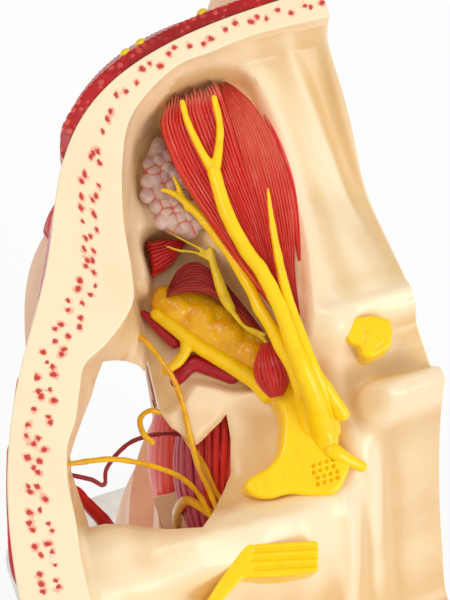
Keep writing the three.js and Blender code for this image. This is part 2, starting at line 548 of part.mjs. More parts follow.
function vertebrae(grow) {
  const outline = [];
  const count = Math.floor((SPINE.top - NECK_END) / SPINE.disc);
  const face = (y, sign) => {
    const side = [];
    for (let i = 0; i < count; i += 1) {
      const top = SPINE.top - i * SPINE.disc;
      const low = Math.max(top - SPINE.disc + 3, NECK_END + 2);
      side.push([y, top], [y + sign * 1.4, (top + low) / 2], [y, low]);
    }
    return side;
  };
  outline.push(...face(SPINE.front, 1));
  outline.push(...face(SPINE.back, -1).reverse());
  return plateX(spread(outline, grow), 0 - (grow ? 2 : 0), SPINE.depth + grow);
}
const inlay = (outline, depth) => (grow) => plateX(spread(outline, grow), grow ? -2 : 0, depth + grow);
const cordLow = NECK_END + 2;
const spinalCord = inlay(
  [[CORD.front, CORD.top], [CORD.front, cordLow], [CORD.back, cordLow], [CORD.back, CORD.top]],
  CORD.depth,
);
const tongue = inlay(TONGUE, TONGUE_DEPTH);
const larynx = inlay(LARYNX, LARYNX_DEPTH);
const nasalPocket = inlay(CONCHAE_POCKET, NASAL_DEPTH)(SEAT_GAP);
const conchae = join(
  plateX(spread(CONCHAE_POCKET, -SEAT_GAP), NASAL_DEPTH - 2, NASAL_DEPTH),
  tube([[6.4, -60, -24.5], [4.6, -48, -24], [6.4, -34, -27]], 1.9),
  tube([[6.2, -66, -33], [4, -50, -31], [6.2, -30, -34]], 2.4),
  tube([[6.2, -68, -42], [4, -50, -40], [6.2, -29, -42]], 2.6),
);

// Eyeball in its socket
const eyeball = (grow) => toSolid(
  new THREE.SphereGeometry(EYE.radius + grow, 16, 10).translate(EYE.x, EYE.y, EYE.z),
);
const eyeWay = toSolid(
  new THREE.CylinderGeometry(EYE.radius * 0.8, EYE.radius * 0.94, 24, 14).translate(EYE.x, EYE.y - 12, EYE.z),
);

// Outer muscles as pieces of the coat over the head
const ellipse = (u, v, across, up, steps) => Array.from({ length: steps }, (_, i) => {
  const angle = (2 * Math.PI * i) / steps;
  return [u + across * Math.cos(angle), v + up * Math.sin(angle)];
});
const fromFront = (outline) => plateY(outline, AHEAD - 10, -20);
const fromSide = (outline) => plateX(outline, 12, BLOCK_WIDTH + 10);
const frontPatch = (outline) => coat.intersect(fromFront(outline));
const sidePatch = (outline) => coat.intersect(fromSide(outline));

const FRONTALIS = [[6, 11.6], [50.5, 11.6], [49, 4], [42, -2], [28, -3.6], [12, -3.6], [7, 0]];
const TEMPORALIS = [[-46, 1], [-38, 3], [-24, 2], [-8, 1], [8, -2], [20, -6], [14, -14], [4, -20], [-16, -22],
  [-34, -18], [-44, -9]];
const ZYGOMATICUS = [[47, -47], [51, -50], [31, -68], [28, -64]];
const BUCCINATOR = [[-57, -60], [-43, -58], [-42, -78], [-55, -80]];
const STERNOMASTOID = [[22, -60], [38, -62], [34, -100], [24, -135], [16, -166], [-6, -166], [6, -130], [16, -95]];
const orbicularisOculi = cut(
  frontPatch(ellipse(EYE.x, EYE.z, 19, 14.6, 18)),
  fromFront(ellipse(EYE.x, EYE.z, 12, 5, 14)),
);
const orbicularisOris = cut(
  frontPatch([[-1, -59.6], [10, -58.6], [22, -64], [25.6, -68.4], [20, -76], [10, -81], [-1, -81]]),
  fromFront([[-2, -67.4], [18, -67.8], [20, -68.4], [18, -69], [-2, -69.2]]),
);

// Ear: a bowl with a rim on the side of the head
const EAR = { y: 27, z: -26, tall: 29, wide: 17, out: 12 };
function auricleForm() {
  const spin = [[0, 0], [EAR.wide * 0.55, 0], [EAR.wide * 0.7, EAR.out * 0.6], [EAR.wide * 0.92, EAR.out],
    [EAR.wide, EAR.out * 0.9], [EAR.wide * 0.94, EAR.out * 0.5], [EAR.wide * 0.8, -14], [0, -14]];
  const profile = spin.map(([r, h]) => new THREE.Vector2(r, h)).reverse();
  const shell = new THREE.LatheGeometry(profile, 16).scale(1, 1, EAR.tall / EAR.wide);
  const turned = shell.rotateZ(-Math.PI / 2).rotateX(0.16);
  return toSolid(turned.translate(onSide(EAR.y, EAR.z, 0)[0], EAR.y, EAR.z));
}
const roomyHead = headForm(2 * SEAT_GAP + MUSCLE_THICKNESS);
const sideRoom = (outline) => roomyHead.intersect(fromSide(spread(outline, SEAT_GAP)));
const frontRoom = (outline) => roomyHead.intersect(fromFront(spread(outline, SEAT_GAP)));
const auricle = cut(auricleForm(), headForm(SEAT_GAP), sideRoom(TEMPORALIS), sideRoom(STERNOMASTOID));

// Vessels on the outside ride on the coat
const VESSEL_RISE = SEAT_GAP + MUSCLE_THICKNESS + VESSEL_RADIUS + 0.1;
const side = (y, z, rise = VESSEL_RISE) => onSide(y, z, rise);
const face = (x, z, rise = VESSEL_RISE) => onFace(x, z, rise);
const superficialTemporal = (grow) => join(
  tube([side(14, -18, 1.1), side(9, -13), side(1, -9), side(-5, -6), side(-10, -3.4)], VESSEL_RADIUS + grow),
  tube([side(1.6, -9.2), side(-8, -8), side(-15, -5.6), side(-19.6, -3.4)], VESSEL_RADIUS * 0.85 + grow),
);
const carotidTrunk = (grow) => tube(
  [[33, -4, -167], [36, 0, -140], [39, 8, -112], [41, 15, -92], [45, 16, -70], [50, 16, -50], [57, 15, -34],
    [64, 14.6, -24]],
  2.6 + grow,
);
const facialArtery = (grow) => tube(
  [face(22, -111, -1.4), face(27, -103, 0.6), face(30.4, -95, 1.1), face(31, -86, 1.1), face(28.6, -76, 1.1)],
  VESSEL_RADIUS + grow,
);
const occipitalArtery = (grow) => tube(
  [side(52, -60, 1), side(62, -44, 1), side(74, -30, 1), side(84, -14, 1), side(90, 2, 1)],
  VESSEL_RADIUS + grow,
);

// Beds are cut in this order: what lies on top keeps its form, and what carries it gives way.
const inOrbit = [frontalNerve, nasociliaryNerve, oculomotorNerve, lacrimalNerve, levator, superiorRectus,
  superiorOblique, lacrimalGland, stumpBall, ciliaryGanglion, inferiorRectus, maxillaryNerve, maxillaryArtery,
  zygomaticArtery, orbitalFat, sideMuscle, trigeminalGanglion, abducensNerve, opticNerve, facialNerve];
const inWindow = [frontTemporalNerve, backTemporalNerve, buccalNerve, alveolarNerve, deepTemporalArtery,
  middleTemporalArtery, pterygoidUpper, pterygoidLower, medialPterygoid];
const allInner = [...inOrbit, ...inWindow];

// A piece without the beds of those that come before it in the list.
function seated(form) {
  const before = allInner.slice(0, allInner.indexOf(form));
  return cut(form(0), ...before.map(bed));
}

const orbitPockets = join(
  plateZ(ORBIT_OPENING, FAN_BED, CUT_HEIGHT + 8),
  plateZ(GLAND_POCKET, GLAND_BED, CUT_HEIGHT + 8),
  plateZ(FAT_POCKET, FAT_BED, CUT_HEIGHT + 8),
);
const innerBeds = allInner.map(bed);

// Skull base and the blocks below it
const skull = cut(block(skullSection), cavityForm(), windowHole, openSide, orbitPockets, bed(eyeball),
  ...innerBeds);
const faceBlock = cut(block(faceSection), openSide, windowHole, nasalPocket, bed(tongue), bed(eyeball), eyeWay,
  ...innerBeds);
const lowerJaw = cut(join(cut(block(jawSection), openSide), jawBranch(0)), bed(tongue), bed(medialPterygoid),
  bed(alveolarNerve), bed(pterygoidLower));
function boreUp(radius, low, high, segments) {
  const bore = new THREE.CylinderGeometry(radius, radius, high - low, segments).rotateX(Math.PI / 2);
  return toSolid(bore.translate(STAND_CENTRE.x, STAND_CENTRE.y, (low + high) / 2));
}
const rodBore = boreUp(ROD_RADIUS + 1, NECK_END, ROD_TIP + 3, 20);
const bushRadius = ROD_RADIUS + RUNNING_CLEARANCE + BUSH.wall;
const bushSeat = boreUp(bushRadius + SEAT_GAP, NECK_END - 10, NECK_END + BUSH.height + SEAT_GAP, 24);
const jawSolid = mainBody(lowerJaw);
const neckBlock = cut(block(neckSection), openSide, windowHole, vertebrae(SEAT_GAP), bed(spinalCord),
  bed(larynx), bed(carotidTrunk), bed(facialArtery), bed(occipitalArtery), bed(jawBranch), rodBore, bushSeat,
  ...innerBeds);

place('skull_base', cut(skull, bed(superficialTemporal), bed(occipitalArtery), bed(carotidTrunk)), BONE);
place('face_block', faceBlock, SKIN);
place('lower_jaw', cut(jawSolid, bed(facialArtery), bed(carotidTrunk)), SKIN);
place('neck_block', neckBlock, SKIN);
place('frontalis_muscle', frontPatch(FRONTALIS), MUSCLE);
place('temporalis_muscle', cut(sidePatch(TEMPORALIS), bed(superficialTemporal), bed(backTemporalNerve)),
  MUSCLE);
place('orbicularis_oculi', cut(orbicularisOculi, bed(eyeball)), MUSCLE);
place('zygomaticus_muscle', frontPatch(ZYGOMATICUS), MUSCLE);
place('orbicularis_oris', orbicularisOris, MUSCLE);
place('buccinator_muscle', cut(sidePatch(BUCCINATOR), bed(facialArtery), openSide, frontRoom(ZYGOMATICUS)),
  PINK_MUSCLE);
place('sternocleidomastoid', cut(sidePatch(STERNOMASTOID), bed(carotidTrunk), bed(facialArtery),
  bed(occipitalArtery)), MUSCLE);
place('auricle', cut(auricle, bed(superficialTemporal), bed(carotidTrunk)), SKIN);
place('eyeball', eyeball(0), EYE_WHITE);
place('levator_muscle', seated(levator), MUSCLE);
place('superior_rectus', seated(superiorRectus), DARK_MUSCLE);
place('superior_oblique', seated(superiorOblique), MUSCLE);
place('lateral_rectus', seated(stumpBall), MUSCLE);
place('inferior_rectus', seated(inferiorRectus), DARK_MUSCLE);
place('orbit_side_muscle', seated(sideMuscle), MUSCLE);
place('lacrimal_gland', seated(lacrimalGland), GLAND);
place('orbital_fat', seated(orbitalFat), FAT);
place('frontal_nerve', seated(frontalNerve), NERVE);
place('lacrimal_nerve', seated(lacrimalNerve), NERVE);
place('nasociliary_nerve', seated(nasociliaryNerve), NERVE);
place('oculomotor_nerve', seated(oculomotorNerve), NERVE);
place('ciliary_ganglion', seated(ciliaryGanglion), NERVE);
place('trigeminal_ganglion', seated(trigeminalGanglion), NERVE);
place('abducens_nerve', seated(abducensNerve), NERVE);
place('optic_nerve', seated(opticNerve), NERVE);
place('maxillary_nerve', seated(maxillaryNerve), NERVE);
place('facial_nerve', seated(facialNerve), NERVE);
place('deep_temporal_nerve_front', seated(frontTemporalNerve), NERVE);
place('deep_temporal_nerve_back', seated(backTemporalNerve), NERVE);
place('buccal_nerve', seated(buccalNerve), NERVE);
place('alveolar_nerve', seated(alveolarNerve), NERVE);
place('maxillary_artery', seated(maxillaryArtery), ARTERY);
place('zygomatic_artery', seated(zygomaticArtery), ARTERY);
place('deep_temporal_artery', seated(deepTemporalArtery), ARTERY);
place('middle_temporal_artery', seated(middleTemporalArtery), ARTERY);
place('pterygoid_upper', seated(pterygoidUpper), DARK_MUSCLE);
place('pterygoid_lower', seated(pterygoidLower), PINK_MUSCLE);
place('medial_pterygoid', seated(medialPterygoid), PINK_MUSCLE);
place('superficial_temporal_artery', superficialTemporal(0), ARTERY);
place('carotid_trunk', cut(carotidTrunk(0), bed(superficialTemporal)), ARTERY);
place('facial_artery', cut(facialArtery(0), bed(carotidTrunk)), ARTERY);
place('occipital_artery', occipitalArtery(0), ARTERY);
place('tongue', tongue(0), PINK_MUSCLE);
place('nasal_conchae', conchae.intersect(plateX([[AHEAD, -60], [0, -60], [0, -10], [AHEAD, -10]], 0, 20)),
  PINK_MUSCLE);
place('cervical_spine', vertebrae(0), BONE);
place('spinal_cord', spinalCord(0), CORD_WHITE);
place('larynx', larynx(0), PINK_MUSCLE);

// Stand: the neck's bush turns on the rod and rests on the rod's collar
const { x: standX, y: standY } = STAND_CENTRE;
function turned(profile, segments = 20) {
  const points = profile.map(([r, z]) => new THREE.Vector2(r, z));
  return toSolid(new THREE.LatheGeometry(points, segments).rotateX(Math.PI / 2).translate(standX, standY, 0));
}
const collarTop = NECK_END - SEAT_GAP;
const collarLow = collarTop - COLLAR.height;
const flangeTop = collarLow - ROD_SHOWN;
const flangeLow = flangeTop - FLANGE.height;
const boardTop = flangeLow;
const boardLow = boardTop - BOARD.height;
const padLow = boardLow - PAD.height;
const rodFoot = flangeLow + SEAT_GAP;
const sleeve = ROD_RADIUS + RUNNING_CLEARANCE;
place('neck_bush', turned([[sleeve, NECK_END], [bushRadius, NECK_END], [bushRadius, NECK_END + BUSH.height],
  [sleeve, NECK_END + BUSH.height], [sleeve, NECK_END]]), STEEL);
place('support_rod', turned([[0, rodFoot], [ROD_RADIUS, rodFoot], [ROD_RADIUS, collarLow],
  [COLLAR.radius, collarLow], [COLLAR.radius, collarTop], [ROD_RADIUS, collarTop], [ROD_RADIUS, ROD_TIP - 1],
  [ROD_RADIUS - 1, ROD_TIP], [0, ROD_TIP]]), STEEL, standPieces);

function roundedBox(width, length, low, high, corner) {
  const shape = new THREE.Shape();
  const right = width / 2;
  const back = length / 2;
  shape.moveTo(-right + corner, -back);
  shape.lineTo(right - corner, -back);
  shape.absarc(right - corner, -back + corner, corner, -Math.PI / 2, 0);
  shape.lineTo(right, back - corner);
  shape.absarc(right - corner, back - corner, corner, 0, Math.PI / 2);
  shape.lineTo(-right + corner, back);
  shape.absarc(-right + corner, back - corner, corner, Math.PI / 2, Math.PI);
  shape.lineTo(-right, -back + corner);
  shape.absarc(-right + corner, -back + corner, corner, Math.PI, 1.5 * Math.PI);
  const settings = { depth: high - low, bevelEnabled: false, curveSegments: 4 };
  return toSolid(new THREE.ExtrudeGeometry(shape, settings).translate(standX, standY, low));
}
const rodHole = turned([[0, flangeLow - 1], [ROD_RADIUS + SEAT_GAP, flangeLow - 1],
  [ROD_RADIUS + SEAT_GAP, flangeTop + 9], [0, flangeTop + 9]]);
const screwPlaces = [0, 1, 2].map((i) => {
  const angle = Math.PI / 2 + (2 * Math.PI * i) / 3;
  return [FLANGE.bolts * Math.cos(angle), FLANGE.bolts * Math.sin(angle)];
});
const headLow = flangeTop + SEAT_GAP;
const headHigh = headLow + SCREW.headHeight;
const screwTip = headLow - SCREW.length;
const screw = (grow, [dx, dy]) => turned([[0, screwTip - grow], [SCREW.shankRadius + grow, screwTip - grow],
  [SCREW.shankRadius + grow, headLow], [SCREW.headRadius, headLow], [SCREW.headRadius * 0.8, headHigh],
  [0, headHigh]], 12).translate([dx, dy, 0]);
const bossTop = flangeTop + 7;
const flangeBody = turned([[0, flangeLow], [FLANGE.radius, flangeLow], [FLANGE.radius, flangeTop - 1],
  [FLANGE.radius - 1, flangeTop], [ROD_RADIUS + 4, flangeTop], [ROD_RADIUS + 3, bossTop], [0, bossTop]], 24);
const screwHoles = screwPlaces.map((at) => screw(SEAT_GAP, at));
place('rod_flange', cut(flangeBody, rodHole, ...screwHoles), STEEL, standPieces);
screwPlaces.forEach((at, i) => place(`flange_screw_${i + 1}`, screw(0, at), STEEL, standPieces));
const board = roundedBox(BOARD.width, BOARD.length, boardLow, boardTop, BOARD.corner);
place('base_board', cut(board, ...screwHoles), BOARD_WHITE, standPieces);
place('base_pad', roundedBox(BOARD.width - 2 * PAD.inset, BOARD.length - 2 * PAD.inset, padLow, boardLow,
  BOARD.corner - PAD.inset), PAD_GREY, standPieces);

// The part's origin is the centre of the pad's underside.
group.position.set(-standX, -standY, -padLow);

export default group;
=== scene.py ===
"""Looks of a half-head anatomy model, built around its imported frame.

Places in this file are millimetres in the head's own axes, with the origin on top of the sella's rear
wall, +X towards the person's left, -Y forward and +Z up. Placement turns them into the frame's metres.
"""

from __future__ import annotations

import logging
import math
from dataclasses import dataclass
from enum import Enum
from typing import Callable, Iterable, Protocol, Sequence

import bmesh
import bpy
import numpy as np
from mathutils import Matrix, Vector, noise

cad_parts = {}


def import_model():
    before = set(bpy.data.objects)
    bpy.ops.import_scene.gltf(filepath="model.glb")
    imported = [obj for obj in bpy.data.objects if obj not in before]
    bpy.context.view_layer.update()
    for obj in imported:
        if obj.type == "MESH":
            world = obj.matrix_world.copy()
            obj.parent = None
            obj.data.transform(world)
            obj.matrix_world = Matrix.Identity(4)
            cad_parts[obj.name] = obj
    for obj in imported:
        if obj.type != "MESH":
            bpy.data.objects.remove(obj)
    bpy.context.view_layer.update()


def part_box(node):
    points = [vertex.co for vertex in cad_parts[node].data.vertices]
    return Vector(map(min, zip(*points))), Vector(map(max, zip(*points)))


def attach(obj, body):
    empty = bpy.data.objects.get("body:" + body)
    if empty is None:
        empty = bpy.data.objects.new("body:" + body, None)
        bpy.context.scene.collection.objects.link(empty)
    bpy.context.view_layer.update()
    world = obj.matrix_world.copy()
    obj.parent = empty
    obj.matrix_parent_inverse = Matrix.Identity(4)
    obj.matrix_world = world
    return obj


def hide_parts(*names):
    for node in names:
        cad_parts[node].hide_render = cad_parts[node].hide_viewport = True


LOG = logging.getLogger("half_head")

Array = np.ndarray
Flat = tuple[float, float]
Place = tuple[float, float, float]
Colour = tuple[float, float, float]

CUT_HEIGHT = 12.0
FOREHEAD = -64.0
OCCIPUT = 112.0
HALF_BREADTH = 79.0
SEAT_GAP = 0.3
NECK_END = -170.0
CHIN_UNDERSIDE = -116.0
STAND_CENTRE = (20.0, 30.0)
HEAD_RISE = 222.0  # height of the head's origin over the rest face
PAST_MEDIAN = 3.0  # how far a cutting form reaches past the median plane
PAST_SIDE = HALF_BREADTH + 22
EYE = Vector((31.0, -50.0, -27.0))
EYE_RADIUS = 12.0
HEAD_BODY = "head"
STAND_BODY = "stand"


class Join(Enum):
    """Ways to combine two solids."""

    ADD = "UNION"
    CUT = "DIFFERENCE"
    COMMON = "INTERSECT"


# Lines and outlines


def smooth_line(points: Sequence[Flat], at: Array) -> Array:
    """Values of a smooth line that overshoots none of its points.

    Args:
        points: Pairs of position and value, in rising order of position.
        at: Positions to read.

    Returns:
        The value at each position.
    """
    x, y = np.array(points, float).T
    step = np.diff(x)
    slope = np.diff(y) / step
    tangent = np.zeros_like(y)
    same = slope[:-1] * slope[1:] > 0
    total = np.where(same, slope[:-1] + slope[1:], 1.0)
    tangent[1:-1] = np.where(same, 2 * slope[:-1] * slope[1:] / total, 0.0)
    tangent[0], tangent[-1] = slope[0], slope[-1]
    at = np.clip(np.asarray(at, float), x[0], x[-1])
    i = np.clip(np.searchsorted(x, at, side="right") - 1, 0, len(x) - 2)
    t = (at - x[i]) / step[i]
    h = step[i]
    return (
        y[i] * (1 + 2 * t) * (1 - t) ** 2
        + h * tangent[i] * t * (1 - t) ** 2
        + y[i + 1] * t**2 * (3 - 2 * t)
        + h * tangent[i + 1] * t**2 * (t - 1)
    )


def smooth_path(points: Sequence[Sequence[float]], samples: int = 40, closed: bool = False) -> Array:
    """A centripetal curve through points of any dimension.

    Args:
        points: The points that it passes.
        samples: Samples between two points.
        closed: Whether it comes back to its start.

    Returns:
        The sampled points, one row each. A closed path ends where it starts.
    """
    p = np.array(points, float)
    if closed:
        p = np.vstack([p[-1], p, p[0], p[1]])
    else:
        p = np.vstack([2 * p[0] - p[1], p, 2 * p[-1] - p[-2]])
    out = []
    for a, b, c, d in zip(p[:-3], p[1:-2], p[2:-1], p[3:]):
        t1 = max(float(np.linalg.norm(b - a)) ** 0.5, 1e-6)
        t2 = t1 + max(float(np.linalg.norm(c - b)) ** 0.5, 1e-6)
        t3 = t2 + max(float(np.linalg.norm(d - c)) ** 0.5, 1e-6)
        t = np.linspace(t1, t2, samples, endpoint=False)[:, None]
        a1 = (t1 - t) / t1 * a + t / t1 * b
        a2 = (t2 - t) / (t2 - t1) * b + (t - t1) / (t2 - t1) * c
        a3 = (t3 - t) / (t3 - t2) * c + (t - t2) / (t3 - t2) * d
        b1 = (t2 - t) / t2 * a1 + t / t2 * a2
        b2 = (t3 - t) / (t3 - t1) * a2 + (t - t1) / (t3 - t1) * a3
        out.append((t2 - t) / (t2 - t1) * b1 + (t - t1) / (t2 - t1) * b2)
    out.append(p[-2][None, :] if not closed else p[1][None, :])
    return np.vstack(out)


def arc_lengths(path: Array) -> Array:
    """Distance along a path at each of its points."""
    return np.concatenate([[0.0], np.cumsum(np.linalg.norm(np.diff(path, axis=0), axis=1))])


def along(path: Array, at: Array) -> Array:
    """Points of a path at distances along it, where only its first three columns are its place."""
    length = arc_lengths(path[:, :3])
    return np.stack([np.interp(at, length, column) for column in path.T], axis=-1)


def resampled(path: Array, at: Array) -> Array:
    """Points of a path at given shares of its length."""
    return along(path, at * arc_lengths(path)[-1])


def rounded(outline: Sequence[Flat], count: int) -> Array:
    """A smooth closed outline through a few points, as evenly spaced points."""
    path = smooth_path(outline, closed=True)
    return resampled(path, np.arange(count) / count)


def inside_distance(outline: Array, x: Array, y: Array) -> Array:
    """How far points lie inside a closed outline, below zero outside.

    Args:
        outline: The corners of the outline, one row each.
        x: First coordinate of the points.
        y: Second coordinate of the points.

    Returns:
        The distance to the outline's nearest edge.
    """
    nearest = np.full(x.shape, np.inf)
    crossings = np.zeros(x.shape, int)
    for (ax, ay), (bx, by) in zip(outline, np.roll(outline, -1, axis=0)):
        dx, dy = bx - ax, by - ay
        t = np.clip(((x - ax) * dx + (y - ay) * dy) / max(dx * dx + dy * dy, 1e-12), 0, 1)
        nearest = np.minimum(nearest, np.hypot(x - ax - t * dx, y - ay - t * dy))
        level = (ay > y) != (by > y)
        crossings += level & (x < ax + (y - ay) * dx / (dy if dy else 1e-12))
    return np.where(crossings % 2 == 1, nearest, -nearest)


def smooth_step(value: Array, low: float, high: float) -> Array:
    """A soft step from 0 at low to 1 at high."""
    t = np.clip((value - low) / (high - low), 0, 1)
    return t * t * (3 - 2 * t)


# Solids


def patch(points: Array, uv: Array | None = None) -> bmesh.types.BMesh:
    """A grid of quads whose vertices lie at points[row, column].

    Args:
        points: The places, in rows and columns.
        uv: Surface coordinates in the same order, for patterns that follow the surface.

    Returns:
        The new bmesh.
    """
    rows, columns = points.shape[:2]
    bm = bmesh.new()
    bmesh.ops.create_grid(bm, x_segments=columns - 1, y_segments=rows - 1, size=1.0)
    for vert, place in zip(bm.verts, points.reshape(-1, 3)):
        vert.co = place
    if uv is not None:
        layer = bm.loops.layers.uv.new("surface")
        flat = uv.reshape(-1, 2)
        for face in bm.faces:
            for loop in face.loops:
                loop[layer].uv = flat[loop.vert.index]
    return bm


def closed_up(bm: bmesh.types.BMesh, distance: float = 1e-3) -> bmesh.types.BMesh:
    """Welds seams and poles, fills what stays open and turns all faces outwards.

    Args:
        bm: The form.
        distance: How near two vertices are welded.

    Returns:
        The same bmesh, closed.
    """
    bmesh.ops.remove_doubles(bm, verts=bm.verts, dist=distance)
    bmesh.ops.dissolve_degenerate(bm, edges=bm.edges, dist=distance)
    open_edges = [edge for edge in bm.edges if edge.is_boundary]
    if open_edges:
        bmesh.ops.holes_fill(bm, edges=open_edges, sides=0)
    bmesh.ops.recalc_face_normals(bm, faces=bm.faces)
    return bm


def mesh_of(bm: bmesh.types.BMesh) -> bpy.types.Mesh:
    """Turns a bmesh into a mesh and frees it."""
    mesh = bpy.data.meshes.new("form")
    bm.to_mesh(mesh)
    bm.free()
    return mesh


@dataclass
class Solid:
    """A mesh in millimetres that can be combined, remeshed and smoothed."""

    mesh: bpy.types.Mesh

    @classmethod
    def of(cls, bm: bmesh.types.BMesh) -> Solid:
        """A solid from a bmesh, which is freed."""
        return cls(mesh_of(bm))

    def _through(self, settle: Callable[[bpy.types.Object], None]) -> Solid:
        """The mesh after the modifiers that settle puts on its object.

        Args:
            settle: Puts the modifiers on a holding object.

        Returns:
            The solid that they leave.
        """
        holder = bpy.data.objects.new("holder", self.mesh)
        bpy.context.scene.collection.objects.link(holder)
        settle(holder)
        graph = bpy.context.evaluated_depsgraph_get()
        result = bpy.data.meshes.new_from_object(holder.evaluated_get(graph))
        bpy.data.objects.remove(holder)
        return Solid(result)

    def combined(self, other: Solid, way: Join) -> Solid:
        """This solid joined with, cut by or reduced to another one.

        Args:
            other: The other solid.
            way: How they are combined.

        Returns:
            The result.
        """
        tool = bpy.data.objects.new("tool", other.mesh)
        bpy.context.scene.collection.objects.link(tool)

        def settle(holder: bpy.types.Object) -> None:
            """Puts the boolean on it."""
            modifier = holder.modifiers.new("combine", "BOOLEAN")
            modifier.operation = way.value
            modifier.solver = "EXACT"
            modifier.object = tool

        result = self._through(settle)
        bpy.data.objects.remove(tool)
        return result

    def cut(self, *others: Solid) -> Solid:
        """This solid without the others."""
        result = self
        for other in others:
            result = result.combined(other, Join.CUT)
        return result

    def common(self, other: Solid) -> Solid:
        """What this solid shares with another one."""
        return self.combined(other, Join.COMMON)

    def remeshed(self, voxel: float, smoothing: int = 3) -> Solid:
        """One even skin over all that overlaps, smoothed a few times.

        Args:
            voxel: Size of its grid.
            smoothing: How often it is smoothed.

        Returns:
            The new solid.
        """

        def settle(holder: bpy.types.Object) -> None:
            """Puts the remesh on it."""
            modifier = holder.modifiers.new("skin", "REMESH")
            modifier.mode = "VOXEL"
            modifier.voxel_size = voxel
            modifier.adaptivity = 0.0

        return self._through(settle).smoothed(smoothing)

    def smoothed(self, times: int, factor: float = 0.5) -> Solid:
        """This solid with its vertices drawn towards their neighbours.

        Args:
            times: How often.
            factor: How far each time.

        Returns:
            The smoother solid.
        """
        bm = bmesh.new()
        bm.from_mesh(self.mesh)
        for _ in range(times):
            bmesh.ops.smooth_vert(
                bm, verts=bm.verts, factor=factor, use_axis_x=True, use_axis_y=True, use_axis_z=True
            )
        return Solid.of(bm)

    def roughened(self, height: float, size: float, seed: float = 0.0) -> Solid:
        """This solid with soft hand-worked unevenness.

        Args:
            height: How far a vertex moves at most.
            size: The width of the bumps.
            seed: Shifts the pattern.

        Returns:
            The uneven solid.
        """
        bm = bmesh.new()
        bm.from_mesh(self.mesh)
        bm.normal_update()
        shift = Vector((seed, seed * 1.7, -seed))
        moves = [vert.normal * height * noise.noise(vert.co / size + shift) for vert in bm.verts]
        for vert, move in zip(bm.verts, moves):
            vert.co += move
        return Solid.of(bm)


def together(*parts: bmesh.types.BMesh) -> Solid:
    """Several closed forms in one mesh, not yet merged.

    Args:
        parts: The forms, which are freed.

    Returns:
        One solid.
    """
    bm = bmesh.new()
    for part in parts:
        mesh = mesh_of(part)
        bm.from_mesh(mesh)
        bpy.data.meshes.remove(mesh)
    return Solid.of(bm)


def tube(
    points: Sequence[Place],
    radii: float | Sequence[float],
    sides: int = 16,
    step: float = 0.5,
    flatness: float = 1.0,
) -> bmesh.types.BMesh:
    """A round-ended cord along a smooth line.

    Args:
        points: The points that its centre line passes.
        radii: One radius, or one for each point.
        sides: Faces round it.
        step: Distance between its rings.
        flatness: Its height as a share of its width.

    Returns:
        The closed form.
    """
    sizes = [radii] * len(points) if isinstance(radii, (int, float)) else list(radii)
    path = smooth_path([(*p, r) for p, r in zip(points, sizes)])
    length = arc_lengths(path[:, :3])[-1]
    ends = np.sin(np.linspace(0, math.pi / 2, 6))
    start, end = sizes[0] * (1 - np.cos(np.arcsin(ends))), sizes[-1] * (1 - np.cos(np.arcsin(ends)))
    middle_steps = max(2, int((length - start[-1] - end[-1]) / step))
    middle = np.linspace(start[-1], length - end[-1], middle_steps)[1:-1]
    at = np.concatenate([start, middle, (length - end)[::-1]])
    swell = np.concatenate([ends, np.ones(len(middle)), ends[::-1]])
    line = along(path, at)
    centre, radius = line[:, :3], line[:, 3] * swell
    forward = np.gradient(centre, axis=0)
    forward[0], forward[-1] = centre[1] - centre[0], centre[-1] - centre[-2]
    forward /= np.linalg.norm(forward, axis=1, keepdims=True) + 1e-12
    angle = np.linspace(0, 2 * math.pi, sides + 1)
    across = np.cross(forward[0], (0.03, 0.02, 1.0))
    rings = []
    for place, way, size in zip(centre, forward, radius):
        across = across - way * np.dot(across, way)
        across /= np.linalg.norm(across)
        up = np.cross(across, way)
        ring = place + size * (np.outer(np.cos(angle), across) + flatness * np.outer(np.sin(angle), up))
        rings.append(ring)
    uv = np.stack(np.meshgrid(angle / (2 * math.pi), at), axis=-1)
    return closed_up(patch(np.array(rings), uv), 1e-4)


def slab(outline: Array, low: float, high: float, edge: float = 0.0, segments: int = 4) -> bmesh.types.BMesh:
    """A plate between two heights with its upper edge rounded.

    Args:
        outline: The plate's corners.
        low: Its underside.
        high: Its top.
        edge: Radius of the upper edge.
        segments: Steps of the rounding.

    Returns:
        The closed form.
    """
    bm = bmesh.new()
    verts = [bm.verts.new((x, y, low)) for x, y in outline]
    face = bm.faces.new(verts)
    raised = bmesh.ops.extrude_face_region(bm, geom=[face])
    top = [item for item in raised["geom"] if isinstance(item, bmesh.types.BMVert)]
    bmesh.ops.translate(bm, verts=top, vec=(0, 0, high - low))
    if edge:
        rim = [e for e in bm.edges if all(abs(v.co.z - high) < 1e-6 for v in e.verts)]
        bmesh.ops.bevel(
            bm, geom=rim, offset=edge, segments=segments, profile=0.5, affect="EDGES", material=-1,
            clamp_overlap=True,
        )
    bmesh.ops.recalc_face_normals(bm, faces=bm.faces)
    return bm


def lump(centre: Place, sizes: Place, turn: float = 0.0, detail: int = 3) -> bmesh.types.BMesh:
    """An egg-shaped form with three half sizes, turned about the vertical.

    Args:
        centre: Its middle.
        sizes: Its half sizes.
        turn: Its turn.
        detail: How fine its faces are.

    Returns:
        The closed form.
    """
    bm = bmesh.new()
    bmesh.ops.create_icosphere(bm, subdivisions=detail, radius=1.0)
    bmesh.ops.scale(bm, vec=sizes, verts=bm.verts)
    bmesh.ops.rotate(bm, cent=(0, 0, 0), matrix=Matrix.Rotation(turn, 3, "Z"), verts=bm.verts)
    bmesh.ops.translate(bm, verts=bm.verts, vec=centre)
    return bm


